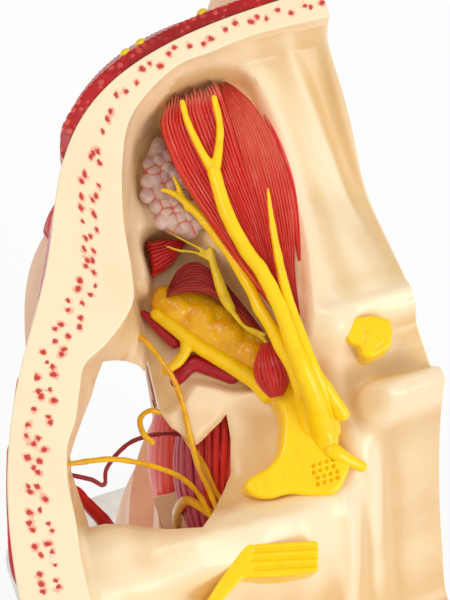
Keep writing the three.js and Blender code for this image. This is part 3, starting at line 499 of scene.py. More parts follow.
def bar(outline: Sequence[Flat], near: float, far: float, axis: int = 0) -> Solid:
    """A straight bar with an outline in the other two axes.

    Args:
        outline: The corners, in the order of the two other axes.
        near: Where it starts along the axis.
        far: Where it ends.
        axis: 0 for x and 1 for y.

    Returns:
        The solid.
    """
    bm = bmesh.new()
    order = {0: lambda u, v: (near, u, v), 1: lambda u, v: (u, near, v)}[axis]
    face = bm.faces.new([bm.verts.new(order(u, v)) for u, v in outline])
    raised = bmesh.ops.extrude_face_region(bm, geom=[face])
    end = [item for item in raised["geom"] if isinstance(item, bmesh.types.BMVert)]
    way = [0.0, 0.0, 0.0]
    way[axis] = far - near
    bmesh.ops.translate(bm, verts=end, vec=way)
    bmesh.ops.recalc_face_normals(bm, faces=bm.faces)
    return Solid.of(bm)


# Outer form of the head


@dataclass(frozen=True)
class HeadSurface:
    """The outside of the half head: its girth at each height, then what rises from it or sinks in."""

    girths: tuple[tuple[float, ...], ...] = (
        # height, front, back, half breadth, widest place, fullness
        (NECK_END, -33, 68, 44, 18, 2.2),
        (-145, -33, 65, 43, 18, 2.2),
        (-116, -38, 65, 44, 16, 2.2),
        (-103, -63, 66, 47, 10, 2.1),
        (-85, -69, 70, 54, 10, 2.1),
        (-65, -69, 78, 60, 16, 2.2),
        (-45, -68, 92, 66, 22, 2.3),
        (-25, -67, 108, 71.5, 28, 2.5),
        (-8, -67, 113, 74.5, 28, 2.7),
        (CUT_HEIGHT, FOREHEAD - 1, OCCIPUT, HALF_BREADTH + 0.8, 27, 2.74),
    )
    swellings: tuple[tuple[Place, Place, float], ...] = (
        ((27, -62, -5), (20, 16, 7), 3),  # brow
        ((31, -60, -25), (15, 20, 10), -9),  # eye socket
        ((50, -45, -42), (13, 20, 10), 4),  # cheekbone
        ((46, -45, -68), (14, 22, 12), -5),  # below the cheekbone
        ((66, -31, 4), (19, 41, 26), -11.6),  # temple
        ((0, -66, -12), (9, 12, 7), -3),  # root of the nose
        ((0, -70, -68), (20, 14, 9), 5),  # lips
        ((0, -70, -68), (22, 14, 1.8), -2.5),  # between the lips
        ((0, -70, -83), (20, 14, 4), -3),  # below the lower lip
        ((0, -68, -95), (15, 14, 9), 5),  # chin
        ((11, -76, -54), (5, 9, 5), 2.2),  # wing of the nose
    )
    nose_rise: tuple[Flat, ...] = ((-58, 0), (-55, 9), (-50, 19), (-45, 21), (-35, 15), (-20, 7), (-10, 0))
    nose_width: tuple[Flat, ...] = ((-56, 13), (-48, 12), (-38, 8), (-10, 6))

    def at(self, turn: Array, height: Array, offset: float | Array = 0.0) -> Array:
        """Points of the surface.

        Args:
            turn: 0 in front, half pi at the side, pi behind.
            height: Their heights.
            offset: How far they lie outside the surface.

        Returns:
            The points, with x, y and z last.
        """
        turn, height = np.broadcast_arrays(np.asarray(turn, float), np.asarray(height, float))
        table = np.array(self.girths, float)
        front, back, half, widest, full = (
            smooth_line(list(zip(table[:, 0], table[:, k])), height) for k in range(1, 6)
        )
        share = np.abs(np.sin(turn)) ** (2 / full)
        level = np.abs(np.cos(turn)) ** (2 / full)
        is_front = np.cos(turn) >= 0
        reach = np.where(is_front, front - widest, back - widest)
        x, y = share * half, widest + reach * level
        nx, ny = share ** (full - 1) / half, level ** (full - 1) / reach
        size = np.hypot(nx, ny) + 1e-12
        rise = np.asarray(offset, float) + np.zeros_like(x)
        for (sx, sy, sz), (rx, ry, rz), height_of in self.swellings:
            far = ((x - sx) / rx) ** 2 + ((y - sy) / ry) ** 2 + ((height - sz) / rz) ** 2
            rise = rise + height_of * np.exp(-far)
        x2, y2 = x + nx / size * rise, y + ny / size * rise
        nose = smooth_line(self.nose_rise, height) * np.exp(-((x / smooth_line(self.nose_width, height)) ** 2))
        return np.stack([x2, y2 - np.where(is_front, nose, 0.0), height], axis=-1)

    def turn_at(self, value: Array, height: Array, axis: int) -> Array:
        """The turn at which the surface passes a place along x or y.

        Args:
            value: The places along the axis.
            height: Their heights.
            axis: 0 for x on the face, 1 for y on the side.

        Returns:
            The turns.
        """
        value, height = np.broadcast_arrays(np.asarray(value, float), np.asarray(height, float))
        low = np.zeros(value.shape)
        high = np.full(value.shape, math.pi * (0.5 if axis == 0 else 1.0))
        for _ in range(20):
            middle = (low + high) / 2
            short = self.at(middle, height)[..., axis] < value
            low, high = np.where(short, middle, low), np.where(short, high, middle)
        return (low + high) / 2

    def on_side(self, y: Array, height: Array, offset: float | Array = 0.0) -> Array:
        """Points of the side at places along y."""
        return self.at(self.turn_at(y, height, 1), height, offset)

    def on_face(self, x: Array, height: Array, offset: float | Array = 0.0) -> Array:
        """Points of the face at places along x."""
        return self.at(self.turn_at(x, height, 0), height, offset)

    def solid(self, offset: float = 0.0, columns: int = 150, rows: int = 150) -> Solid:
        """The half head as one closed solid.

        Args:
            offset: How far it lies outside the surface.
            columns: Faces round it.
            rows: Faces up it.

        Returns:
            The solid.
        """
        turns = np.linspace(0, math.pi, columns)
        heights = np.linspace(NECK_END, CUT_HEIGHT, rows)
        ring, level = np.meshgrid(turns, heights)
        return Solid.of(closed_up(patch(self.at(ring, level, offset))))


HEAD = HeadSurface()

# Sections in y and z that part the head into its blocks
BEHIND = OCCIPUT + 8
AHEAD = FOREHEAD - 46
BELOW = NECK_END - 30
SKULL_UNDERSIDE: tuple[Flat, ...] = (
    (-58, -14), (-44, -19), (-28, -22), (-8, -28), (6, -40), (18, -52), (34, -58), (62, -57), (92, -48),
    (BEHIND, -20),
)
JAW_TOP: tuple[Flat, ...] = ((AHEAD, -68), (-30, -68), (-9, -60))
THROAT_BACK: tuple[Flat, ...] = ((-9, -60), (-9, -78), (-16, -100), (-30, CHIN_UNDERSIDE))


# Inside of the skull


@dataclass(frozen=True)
class Knoll:
    """A soft rise or hollow of the skull's floor."""

    x: float
    y: float
    wide: float
    long: float
    rise: float
    turn: float = 0.0

    def height(self, x: Array, y: Array) -> Array:
        """Its height over the floor.

        Args:
            x: First coordinates.
            y: Second coordinates.

        Returns:
            The heights.
        """
        cos, sin = math.cos(self.turn), math.sin(self.turn)
        dx, dy = x - self.x, y - self.y
        along, across = dx * cos + dy * sin, -dx * sin + dy * cos
        return self.rise * np.exp(-((along / self.wide) ** 2) - (across / self.long) ** 2)


@dataclass(frozen=True)
class Basin:
    """A pocket with a flat bed in the skull's floor."""

    outline: tuple[Flat, ...]
    bed: float
    soft: float = 1.6

    def lowered(self, height: Array, x: Array, y: Array) -> Array:
        """The floor's height with the pocket in it."""
        depth = inside_distance(rounded(self.outline, 70), x, y)
        share = smooth_step(depth, -self.soft, self.soft * 0.4)
        return height + np.minimum(self.bed - height, 0) * share


@dataclass(frozen=True)
class SkullFloor:
    """The skull's floor as heights over x and y, from sections along the head."""

    sections: tuple[tuple[float, tuple[Flat, ...]], ...] = (
        (0, ((-62, 8), (-58, 4.4), (-51.6, 1), (-42.6, -2.3), (-33.6, -4.9), (-23.5, -2.2), (-12.7, 0.8),
             (-8.9, -3.3), (-2.2, -4.1), (-0.6, 1.4), (1.3, 2.0), (3.1, -2.5), (7.8, -12.7), (16.3, -27.4),
             (24, -38.2), (33, -48), (50, -49), (75, -42), (96, -22), (106, 4))),
        (9, ((-62, 8), (-57, 4.6), (-50, 2.6), (-42, 1.2), (-33, 0.4), (-24, 1), (-14, 2.2), (-9, -1.6),
             (-3, -3.6), (-0.6, 1.2), (1.6, 1.6), (4, -4), (8.5, -12.7), (16.3, -26.4), (24, -37),
             (33, -46.5), (50, -48.5), (75, -42), (96, -22), (106, 4))),
        (15, ((-62, 8), (-57, 5), (-45, 4), (-33, 3.4), (-24, 3), (-17, 3.4), (-12, 3.4), (-7, -1.5),
              (-2, -5.5), (2, -6.5), (6, -7), (10, -9), (16, -17), (24, -31), (33, -43), (50, -48),
              (75, -42), (96, -22), (106, 4))),
        (21, ((-62, 8), (-57, 5), (-46, 4.6), (-30, 4.4), (-18, 3.6), (-12, 1.5), (-6, -6), (0, -9.6),
              (6, -10.6), (9, -10), (13, -6.8), (16, -7.6), (21, -14), (30, -32), (42, -42), (80, -42),
              (98, -26), (108, 8))),
        (30, ((-62, 8), (-57, 5), (-46, 4.6), (-34, 3), (-24, -1), (-16, -6), (-10, -9.4), (-4, -11.4),
              (4, -12.4), (9, -9.4), (12.6, -5.2), (15, -3.8), (19, -5), (23, -13), (30, -28), (42, -40),
              (80, -41), (98, -26), (108, 8))),
        (38, ((-62, 8), (-55, 3), (-46, -1.5), (-38, -3), (-30, -5.4), (-25, -8), (-20, -9.6), (-12, -11.2),
              (-4, -12), (4, -12.6), (8, -10), (11.4, -5), (14.4, -2.4), (19, -3.4), (24, -14), (31, -30),
              (42, -40), (80, -41), (98, -26), (108, 8))),
        (48, ((-62, 8), (-40, 0), (-28, -5.6), (-23, -7.8), (-18, -10), (-10, -11.4), (0, -12), (6, -9),
              (10, -4), (14, -0.6), (18, -1.2), (23, -10), (31, -30), (42, -39), (80, -40), (98, -24),
              (108, 9))),
        (60, ((-62, 9), (-30, 2), (-14, -0.5), (-6, -4), (0, -7), (4.4, -5), (8, -1), (12, 0.8), (17, 0.6),
              (22, -4), (32, -26), (44, -35), (70, -34), (90, -20), (108, 10))),
        (72, ((-62, 10), (-20, 5), (0, 0), (8, 2), (17, 3), (24, -4), (40, -20), (70, -20), (108, 11))),
    )
    knolls: tuple[Knoll, ...] = (
        Knoll(13.5, -12, 3.2, 4.6, 1.6, 0.5),  # front clinoid
        Knoll(10.5, 0.6, 2.6, 1.6, 1.6),  # rear clinoid
        Knoll(0, -14.6, 14, 1.1, 0.9),  # ridge before the sella
        Knoll(5.4, -44, 1.0, 16, 1.0, 0.10),  # edge of the olfactory groove
        Knoll(2.6, -40, 1.6, 13, -0.7, 0.08),
        Knoll(0.0, -47, 1.1, 9, 3.0),  # crest in the median plane
        Knoll(7.5, -25, 4.5, 6, 0.6, 0.3),
        Knoll(9, -33, 2.6, 4, -0.45, 0.4),
        Knoll(4, -25.5, 2.4, 3, -0.4),
        Knoll(47, 12.5, 5.5, 3.5, 1.5, 0.2),  # arched rise of the petrous bone
        Knoll(56, 12.5, 3.4, 5, -1.3, 0.3),
        Knoll(53.5, 6.8, 4.2, 3.4, -0.8),
        Knoll(33, 13.5, 4.5, 3.0, 0.7),
        Knoll(29, -0.5, 7, 3, -0.5, 0.6),
        Knoll(36, -12, 5, 5, 0.7),
        Knoll(31, -7, 2.2, 3.4, -0.7, 0.5),
        Knoll(13, 15, 6, 6, 0.8),
    )
    basins: tuple[Basin, ...] = (
        Basin(((13.6, -50), (16, -56.4), (24, -57.4), (30.6, -56), (31.6, -50), (30.8, -42), (28.6, -34),
               (25.4, -24), (21, -11), (19, -15), (16, -24), (14.2, -32), (13, -42)), 1.4),
        Basin(((30.4, -54.6), (34, -53.2), (36.4, -48), (37.2, -41), (36.4, -35), (33, -33), (29, -33.5),
               (28, -42)), -4.0),
        Basin(((40.8, -26), (38.6, -31), (37.6, -37), (33, -37.6), (30, -33), (25, -25), (21.8, -14),
               (24.6, -8), (28, -10), (33, -15.6), (38, -21.6)), -11.5, 1.8),
        Basin(((43.6, -28), (41, -28.6), (37, -21), (31.6, -15), (28, -11.6), (27.6, -8.8), (31, -9.4),
               (34.6, -11.6), (37.4, -12.8), (40, -11), (43, -9.6), (44.4, -13), (43, -20)), -12.6, 1.6),
    )

    def height(self, x: Array, y: Array) -> Array:
        """Height of the floor at each place.

        Args:
            x: First coordinates.
            y: Second coordinates.

        Returns:
            The heights.
        """
        places = [place for place, _ in self.sections]
        columns = np.stack([smooth_line(section, y) for _, section in self.sections])
        x = np.clip(x, places[0], places[-1])
        i = np.clip(np.searchsorted(places, x, side="right") - 1, 0, len(places) - 2)
        low, high = np.array(places)[i], np.array(places)[i + 1]
        share = smooth_step((x - low) / (high - low), 0, 1)
        flat = columns.reshape(len(places), -1)
        pick = np.arange(flat.shape[1]).reshape(x.shape)
        height = flat[i, pick] * (1 - share) + flat[i + 1, pick] * share
        for knoll in self.knolls:
            height = height + knoll.height(x, y)
        for basin in self.basins:
            height = basin.lowered(height, x, y)
        return height


@dataclass(frozen=True)
class SkullForm:
    """The skull's base as one closed skin: its floor, walls, sawn rim and outside."""

    middle: Flat = (0.0, 25.0)
    floor_rows: int = 175
    wall_rows: int = 16
    band_rows: int = 9
    outer_rows: int = 22
    low: float = -64.0
    edge: float = 0.35
    dot_line: float = 0.46  # the marrow's middle line, as a share of the band's width from outside
    floor: SkullFloor = SkullFloor()
    inner_rim: tuple[Flat, ...] = (
        (0, -59.9), (14, -60.4), (21, -59.7), (26.4, -59.2), (32.5, -56.4), (37.2, -52.6), (40.4, -46.6),
        (43.4, -37.1), (44.8, -29), (46.1, -24.3), (48.3, -21.9), (52.7, -18.8), (56.8, -16.7), (58.8, -13.1),
        (60.9, -8.8), (63.3, -5.4), (65, -0.2), (65.8, 6.1), (66.9, 12.3), (67.4, 18.6), (67, 40), (61, 64),
        (48, 86), (28, 98), (0, 102),
    )
    # width of the wall between the rim and the floor, by the ray's angle in degrees
    wall_width: tuple[Flat, ...] = (
        (0, 2.4), (12, 2.8), (22, 4.4), (32, 5.4), (40, 5.6), (48, 4.2), (60, 3.2), (78, 2.4), (95, 4), (130, 7),
        (180, 8),
    )

    def angles(self) -> Array:
        """Angles of the columns: fine in front, coarser behind."""
        front = np.linspace(0, 82, 215, endpoint=False)
        return np.radians(np.concatenate([front, np.linspace(82, 180, 86)]))

    def rays(self) -> tuple[Array, Array, Array]:
        """Where each column meets the rim.

        Returns:
            The turns of the outer surface, the inner rim's points and the wall's widths.
        """
        angle = self.angles()
        mx, my = self.middle
        turns = np.linspace(0, math.pi, 1500)
        outer = HEAD.at(turns, np.full_like(turns, CUT_HEIGHT))
        outer_angle = np.arctan2(outer[:, 0] - mx, -(outer[:, 1] - my))
        rim = smooth_path(self.inner_rim)
        rim_angle = np.arctan2(rim[:, 0] - mx, -(rim[:, 1] - my))
        order = np.argsort(rim_angle)
        inner = np.stack([np.interp(angle, rim_angle[order], rim[order, k]) for k in (0, 1)], axis=-1)
        wall = smooth_line(self.wall_width, np.degrees(angle))
        return np.interp(angle, outer_angle, turns), inner, wall

    def skin(self) -> bmesh.types.BMesh:
        """The whole closed skin, with its band laid out in millimetres for the pattern of dots."""
        turns, rim_in, wall = self.rays()
        middle = np.array(self.middle)
        reach = np.linalg.norm(rim_in - middle, axis=1)
        ray = (rim_in - middle) / reach[:, None]
        foot = reach - wall

        def on_rays(out: Array) -> Array:
            """Places at distances from the middle along the columns' rays."""
            return middle + out[..., None] * ray

        def ledge(place: Array, height: float) -> Array:
            """One row of the skin at a height."""
            return np.column_stack([place, np.full(len(turns), height)])[None]

        spots = on_rays(np.linspace(0, 1, self.floor_rows)[:, None] * foot[None, :])
        x, y = spots[..., 0], spots[..., 1]
        rows = [np.stack([x, y, self.floor.height(x, y)], axis=-1)]
        lift = np.linspace(0, math.pi / 2, self.wall_rows + 1)[1:, None]
        spots = on_rays(foot[None, :] + wall[None, :] * np.sin(lift) ** 1.15)
        x, y = spots[..., 0], spots[..., 1]
        level = self.floor.height(x, y)
        rows.append(np.stack([x, y, level + (CUT_HEIGHT - self.edge - level) * (1 - np.cos(lift)) ** 0.9], axis=-1))
        rim_out = HEAD.at(turns, np.full_like(turns, CUT_HEIGHT))[:, :2]
        width = np.linalg.norm(rim_out - rim_in, axis=1)
        way = (rim_out - rim_in) / width[:, None]
        edge = self.edge
        for part in np.linspace(0, math.pi / 2, 4)[1:]:
            rows.append(ledge(rim_in + way * edge * (1 - math.cos(part)), CUT_HEIGHT - edge * (1 - math.sin(part))))
        for part in np.linspace(0, 1, self.band_rows + 2)[1:-1]:
            rows.append(ledge(rim_in + way * (edge + (width[:, None] - 2 * edge) * part), CUT_HEIGHT))
        for part in np.linspace(0, math.pi / 2, 4):
            rows.append(ledge(rim_out - way * edge * (1 - math.sin(part)), CUT_HEIGHT - edge * (1 - math.cos(part))))
        for height in np.linspace(CUT_HEIGHT - edge, self.low, self.outer_rows)[1:]:
            rows.append(HEAD.at(turns, np.full_like(turns, height))[None])
        rows.append(np.tile([*self.middle, self.low], (1, len(turns), 1)).astype(float))
        points = np.concatenate(rows)
        points[:, (0, -1), 0] = 0
        depth = np.linalg.norm(points[..., :2] - rim_out[None], axis=-1)
        along_rim = np.broadcast_to(arc_lengths(rim_out), depth.shape)
        return closed_up(patch(points, np.stack([along_rim, depth - self.dot_line * width[None, :]], axis=-1)))


# Shader kit


def linear(red: float, green: float, blue: float) -> tuple[float, ...]:
    """A colour given on the usual scale to 255, as the shaders count it."""
    return (*(((c / 255 + 0.055) / 1.055) ** 2.4 if c > 10 else c / 255 / 12.92 for c in (red, green, blue)), 1.0)


def operator(operation: str, reflected: bool = False) -> Callable[[Wire, Wire | float], Wire]:
    """A method that adds a Math node for one of Python's operators.

    Args:
        operation: The Math node's operation.
        reflected: Whether the wire stands on the operator's right.

    Returns:
        The method.
    """

    def method(self: Wire, other: Wire | float) -> Wire:
        """The operation's result."""
        return self.maths(operation, *((other, self) if reflected else (self, other)))

    return method


class Wire:
    """An output of a node that sums, products and powers can be written with."""

    __add__, __radd__ = operator("ADD"), operator("ADD", True)
    __sub__, __rsub__ = operator("SUBTRACT"), operator("SUBTRACT", True)
    __mul__, __rmul__ = operator("MULTIPLY"), operator("MULTIPLY", True)
    __truediv__, __pow__ = operator("DIVIDE"), operator("POWER")
    lowest, highest = operator("MINIMUM"), operator("MAXIMUM")

    def __init__(self, kit: Shader, socket: bpy.types.NodeSocket) -> None:
        """Holds a socket of a material's nodes."""
        self.kit = kit
        self.socket = socket

    def maths(self, operation: str, *values: Wire | float) -> Wire:
        """A Math node on some values."""
        return self.kit.node("ShaderNodeMath", {"operation": operation}, dict(enumerate(values)))

    def size(self) -> Wire:
        """The value without its sign."""
        return self.maths("ABSOLUTE", self)

    def step(self, low: float, high: float) -> Wire:
        """A soft step from 0 at low to 1 at high, or down where high is lower.

        Args:
            low: Where the step is 0.
            high: Where it is 1.

        Returns:
            The step.
        """
        if high < low:
            return 1 - self.step(high, low)
        limits = {"Value": self, "From Min": low, "From Max": high}
        return self.kit.node("ShaderNodeMapRange", {"interpolation_type": "SMOOTHSTEP"}, limits)


class Shader:
    def __init__(self, name: str, of_world: bool = False) -> None:
        """Starts an empty material, or a world.

        Args:
            name: Its name.
            of_world: Whether it is a world.
        """
        self.material = (bpy.data.worlds if of_world else bpy.data.materials).new(name)
        self.material.use_nodes = True
        self.tree = self.material.node_tree
        self.tree.nodes.clear()
        self.output = "ShaderNodeOutputWorld" if of_world else "ShaderNodeOutputMaterial"

    def node(
        self, kind: str, settings: dict | None = None, inputs: dict | None = None, output: int | str = 0
    ) -> Wire:
        """Adds a node.

        Args:
            kind: Its type.
            settings: Its properties, set first.
            inputs: Values or wires for its sockets, by name or number.
            output: The output that is wanted.

        Returns:
            That output.
        """
        made = self.tree.nodes.new(kind)
        for key, value in (settings or {}).items():
            setattr(made, key, value)
        for key, value in (inputs or {}).items():
            if isinstance(value, Wire):
                self.tree.links.new(value.socket, made.inputs[key])
            else:
                made.inputs[key].default_value = value
        return Wire(self, made.outputs[output])

    def places(self, turn: tuple[float, float, float] = (0, 0, 0), scale: Place = (1, 1, 1)) -> Wire:
        """Object coordinates in millimetres, turned and stretched.

        Args:
            turn: The turn, in radians.
            scale: The stretch along each axis.

        Returns:
            The coordinates.
        """
        spot = self.node("ShaderNodeTexCoord", output="Object")
        millimetres = tuple(1000 * s for s in scale)
        turned = self.node("ShaderNodeMapping", {}, {"Vector": spot, "Rotation": turn})
        return self.node("ShaderNodeMapping", {}, {"Vector": turned, "Scale": millimetres})

    def surface(self, scale: Place = (1, 1, 1), shift: Place = (0, 0, 0)) -> Wire:
        """The surface's own coordinates, stretched and shifted."""
        uv = self.node("ShaderNodeUVMap", {"uv_map": "surface"})
        return self.node("ShaderNodeMapping", {}, {"Vector": uv, "Scale": scale, "Location": shift})

    def axis(self, vector: Wire, which: str) -> Wire:
        """One axis of a vector."""
        return self.node("ShaderNodeSeparateXYZ", {}, {"Vector": vector}, which)

    def noise(self, vector: Wire, scale: float, detail: float = 3.0, rough: float = 0.5) -> Wire:
        """Soft noise between 0 and 1."""
        inputs = {"Vector": vector, "Scale": scale, "Detail": detail, "Roughness": rough}
        return self.node("ShaderNodeTexNoise", {"noise_dimensions": "3D"}, inputs)

    def cells(self, vector: Wire, scale: float, feature: str = "F1", random: float = 1.0) -> Wire:
        """Distances of a cell pattern in space."""
        inputs = {"Vector": vector, "Scale": scale, "Randomness": random}
        return self.node("ShaderNodeTexVoronoi", {"feature": feature}, inputs, "Distance")

    def attribute(self, name: str) -> Wire:
        """A number stored on the mesh."""
        return self.node("ShaderNodeAttribute", {"attribute_type": "GEOMETRY", "attribute_name": name}, {}, "Fac")

    def mix(self, share: Wire | float, low: Wire | Colour, high: Wire | Colour) -> Wire:
        """A blend of two colours."""
        ends = (colour if isinstance(colour, Wire) else linear(*colour) for colour in (low, high))
        return self.node("ShaderNodeMix", {"data_type": "RGBA"}, dict(zip((0, 6, 7), (share, *ends))), 2)

    def bump(self, height: Wire, distance: float, strength: float = 1.0) -> Wire:
        """A surface raised by a height, with the distance in millimetres."""
        inputs = {"Height": height, "Distance": distance / 1000, "Strength": strength}
        return self.node("ShaderNodeBump", {}, inputs)

    def finish(
        self, colour: Wire, rough: Wire | float, normal: Wire | None = None, **constants: float
    ) -> bpy.types.Material:
        """Ends the material.

        Args:
            colour: Its colour.
            rough: Its roughness.
            normal: Its raised surface.
            constants: Values of other sockets, with _ for a space.

        Returns:
            The material.
        """
        links: dict = {"Base Color": colour, "Roughness": rough}
        if normal is not None:
            links["Normal"] = normal
        for key, value in constants.items():
            links[key.replace("_", " ").title().replace("Ior", "IOR")] = value
        self.end(self.node("ShaderNodeBsdfPrincipled", {}, links))
        return self.material

    def end(self, shader: Wire) -> None:
        """Links the surface to the output."""
        self.tree.links.new(shader.socket, self.tree.nodes.new(self.output).inputs["Surface"])


# Finishes


@dataclass(frozen=True)
class BoneFinish:
    """Glossy ivory moulding with tan painted shade where its floor is hollow and on its walls, and red marrow dots
    along the sawn band.
    """

    light: Colour = (252, 229, 190)
    # tan for the floor's tint and for the painted shade where it is hollow and on its walls
    shade_tan: Colour = (228, 190, 132)
    marrow: Colour = (202, 56, 42)
    stain: Colour = (242, 158, 130)
    dot_cell: float = 2.0
    dot_stray: float = 0.78
    double_from: float = 47.0
    rough: float = 0.3

    def dots(self, kit: Shader) -> tuple[Wire, Wire]:
        """The masks of the marrow dots and of the stain round them: one row in front, then two.

        Args:
            kit: The material's nodes.

        Returns:
            The dots' mask and the stain's.
        """
        doubled = kit.axis(kit.surface(), "X").step(self.double_from - 1, self.double_from + 1)
        scale = (1 / self.dot_cell, 1 / self.dot_cell, 1)
        ragged = kit.noise(kit.surface((1.7, 1.7, 1)), 1.0, 2.0) - 0.5
        size = kit.noise(kit.surface((0.5, 0.5, 1)), 1.0, 1.0) - 0.5
        span = None
        for rows, half_width in ((1, 0.5), (2, 1.0)):
            shift = self.dot_stray / 2 + 0.5 * (rows - 1)
            vector = kit.surface(scale, (0.37 * rows, shift, 0))
            settings = {"voronoi_dimensions": "2D"}
            inputs = {"Vector": vector, "Scale": 1.0, "Randomness": self.dot_stray}
            middle = kit.node("ShaderNodeTexVoronoi", settings, inputs, "Position")
            gap = kit.node("ShaderNodeTexVoronoi", settings, inputs, "Distance")
            outside = (kit.axis(middle, "Y") - shift).size().step(half_width, half_width + 0.02)
            own = gap + outside + (1 - doubled if rows == 2 else doubled)
            span = own if span is None else span.lowest(own)
        span = span + ragged * 0.42 + size * 0.3
        top = kit.axis(kit.places(), "Z").step(TOP_LEVEL - 0.4, TOP_LEVEL - 0.1)
        return span.step(0.27, 0.15) * top, (span + size * 0.6).step(0.46, 0.2) * top

    def material(self, name: str) -> bpy.types.Material:
        """The material.

        Args:
            name: Its name.

        Returns:
            The material, with its nodes.
        """
        kit = Shader(name)
        place = kit.places()
        # random mottling plus the hollow mark, which is painted shade: more tan where hollow and on walls, less on
        # rises
        mottle_and_shade = kit.noise(place, 0.05).step(0.4, 0.8) * 0.3 + kit.attribute("hollow")
        colour = kit.mix(mottle_and_shade.step(0.0, 1.0), self.light, self.shade_tan)
        fine = kit.noise(place, 0.9, 3.0, 0.6)
        dot, stain = self.dots(kit)
        colour = kit.mix(dot, kit.mix(stain * 0.75, colour, self.stain), self.marrow)
        rough = self.rough + 0.16 * kit.noise(place, 0.3, 2.0)
        normal = kit.bump(kit.noise(place, 0.22) + 0.25 * fine, 0.35, 0.5)
        return kit.finish(colour, rough, normal, coat_weight=0.25, coat_roughness=0.12)


@dataclass(frozen=True)
class FibreFinish:
    """Painted muscle: threads on a deeper ground along the piece's own surface, with the ground sunk into the grooves
    as painted shade and pale painted highlights on the ridges.
    """

    ground: Colour = (128, 8, 12)
    thread: Colour = (206, 26, 24)
    # pale colour of the painted highlight on the fibre ridges
    painted_highlight: Colour = (236, 120, 96)
    threads: float = 3.0
    highlight_share: float = 0.35
    rough: float = 0.26
    bloom: Colour = (228, 92, 68)
    bloom_at: Place = (0.0, 0.0, 0.0)  # middle of a paler field, in the head's axes
    bloom_reach: float = 0.0
    pale_start: float = 0.0  # millimetres of pale frayed ends

    def material(self, name: str) -> bpy.types.Material:
        """The material.

        Args:
            name: Its name.

        Returns:
            The material, with its nodes.
        """
        kit = Shader(name)
        long = kit.noise(kit.surface((self.threads, 0.09, 1)), 1.0, 3.0, 0.65)
        fine = kit.noise(kit.surface((self.threads * 3.1, 0.2, 1)), 1.0, 2.0, 0.6)
        ridge = kit.attribute("ridge")
        # the ground shows where the ridge mark is low: partly the paint's own deeper tone, partly painted shade in the
        # grooves and on undersides
        body = kit.mix((ridge * 0.7 + long * 0.6).step(0.3, 1.0), self.ground, self.thread)
        if self.bloom_reach:
            place = kit.places()
            dx = kit.axis(place, "X") - (self.bloom_at[0] - STAND_CENTRE[0])
            dy = kit.axis(place, "Y") - (self.bloom_at[1] - STAND_CENTRE[1])
            far = (dx * dx * 2.2 + dy * dy) ** 0.5 + long * 3
            body = kit.mix(far.step(self.bloom_reach, self.bloom_reach * 0.3) * 0.85, body, self.bloom)
        if self.pale_start:
            start = kit.axis(kit.surface(), "Y") + fine * 1.4
            body = kit.mix(start.step(self.pale_start, 0.2) * 0.8, body, (240, 172, 150))
        # painted highlight: pale streaks along the fibre ridges
        pale = (long * 0.6 + fine * 0.5 + ridge * 0.22).step(0.7, 0.94) * self.highlight_share
        colour = kit.mix(pale, body, self.painted_highlight)
        rough = self.rough + 0.2 * fine
        normal = kit.bump(fine + 0.7 * long, 0.18, 0.8)
        return kit.finish(colour, rough, normal, coat_weight=0.3, coat_roughness=0.08, specular_ior_level=0.25)


@dataclass(frozen=True)
class BeadFinish:
    """Crimson muscle sawn across: its bundles show as rows of small pale beads."""

    ground: Colour = (188, 14, 16)
    deep: Colour = (134, 6, 10)
    bead: Colour = (228, 104, 84)
    bead_size: float = 1.3

    def material(self, name: str) -> bpy.types.Material:
        """The material.

        Args:
            name: Its name.

        Returns:
            The material, with its nodes.
        """
        kit = Shader(name)
        place = kit.places()
        cloud = kit.noise(place, 0.16, 3.0, 0.6)
        bundles = kit.cells(place, 1 / self.bead_size, random=0.75)
        core = bundles.step(0.46, 0.2) * cloud.step(0.3, 0.5)
        rim = bundles.step(0.34, 0.16)
        base = kit.mix(cloud.step(0.62, 0.36) * 0.6, self.ground, self.deep)
        colour = kit.mix(core * (0.9 - rim * 0.4), base, self.bead)
        normal = kit.bump(1 - bundles, 0.2, 0.8)
        return kit.finish(colour, 0.3 + 0.15 * cloud, normal, coat_weight=0.3, coat_roughness=0.08,
                          specular_ior_level=0.25)


@dataclass(frozen=True)
class CordFinish:
    """Enamel on nerves and vessels, deeper in places, with brush marks."""

    light: Colour
    deep: Colour
    deep_share: float = 0.6
    grain: float = 0.35
    rough: float = 0.26

    def material(self, name: str) -> bpy.types.Material:
        """The material.

        Args:
            name: Its name.

        Returns:
            The material, with its nodes.
        """
        kit = Shader(name)
        place = kit.places()
        patch_of = kit.noise(place, self.grain, 3.0, 0.55)
        lines = kit.noise(kit.places((0, 0, 0.35), (1.5, 0.3, 1.5)), 1.0, 2.0, 0.6)
        share = (patch_of * 0.7 + lines * 0.3).step(0.44, 0.72) * self.deep_share
        colour = kit.mix(share, self.light, self.deep)
        rough = self.rough + 0.12 * lines
        normal = kit.bump(lines * 0.4 + patch_of, 0.1, 0.6)
        return kit.finish(colour, rough, normal, coat_weight=0.35, coat_roughness=0.08, specular_ior_level=0.25)


@dataclass(frozen=True)
class MarkedFinish:
    """A painted ground with a second colour where the mesh carries a mark."""

    ground: Colour
    mark: Colour
    cloud: Colour
    rough: float = 0.32
    bumps: float = 0.2
    scale: float = 0.7

    def material(self, name: str) -> bpy.types.Material:
        """The material.

        Args:
            name: Its name.

        Returns:
            The material, with its nodes.
        """
        kit = Shader(name)
        place = kit.places()
        soft = kit.noise(place, self.scale, 3.0, 0.6)
        base = kit.mix(soft.step(0.35, 0.7), self.ground, self.cloud)
        colour = kit.mix(kit.attribute("mark"), base, self.mark)
        normal = kit.bump(soft + 0.4 * kit.noise(place, self.scale * 4, 2.0), self.bumps, 0.8)
        return kit.finish(colour, self.rough + 0.15 * soft, normal, coat_weight=0.35, coat_roughness=0.1,
                          specular_ior_level=0.3)


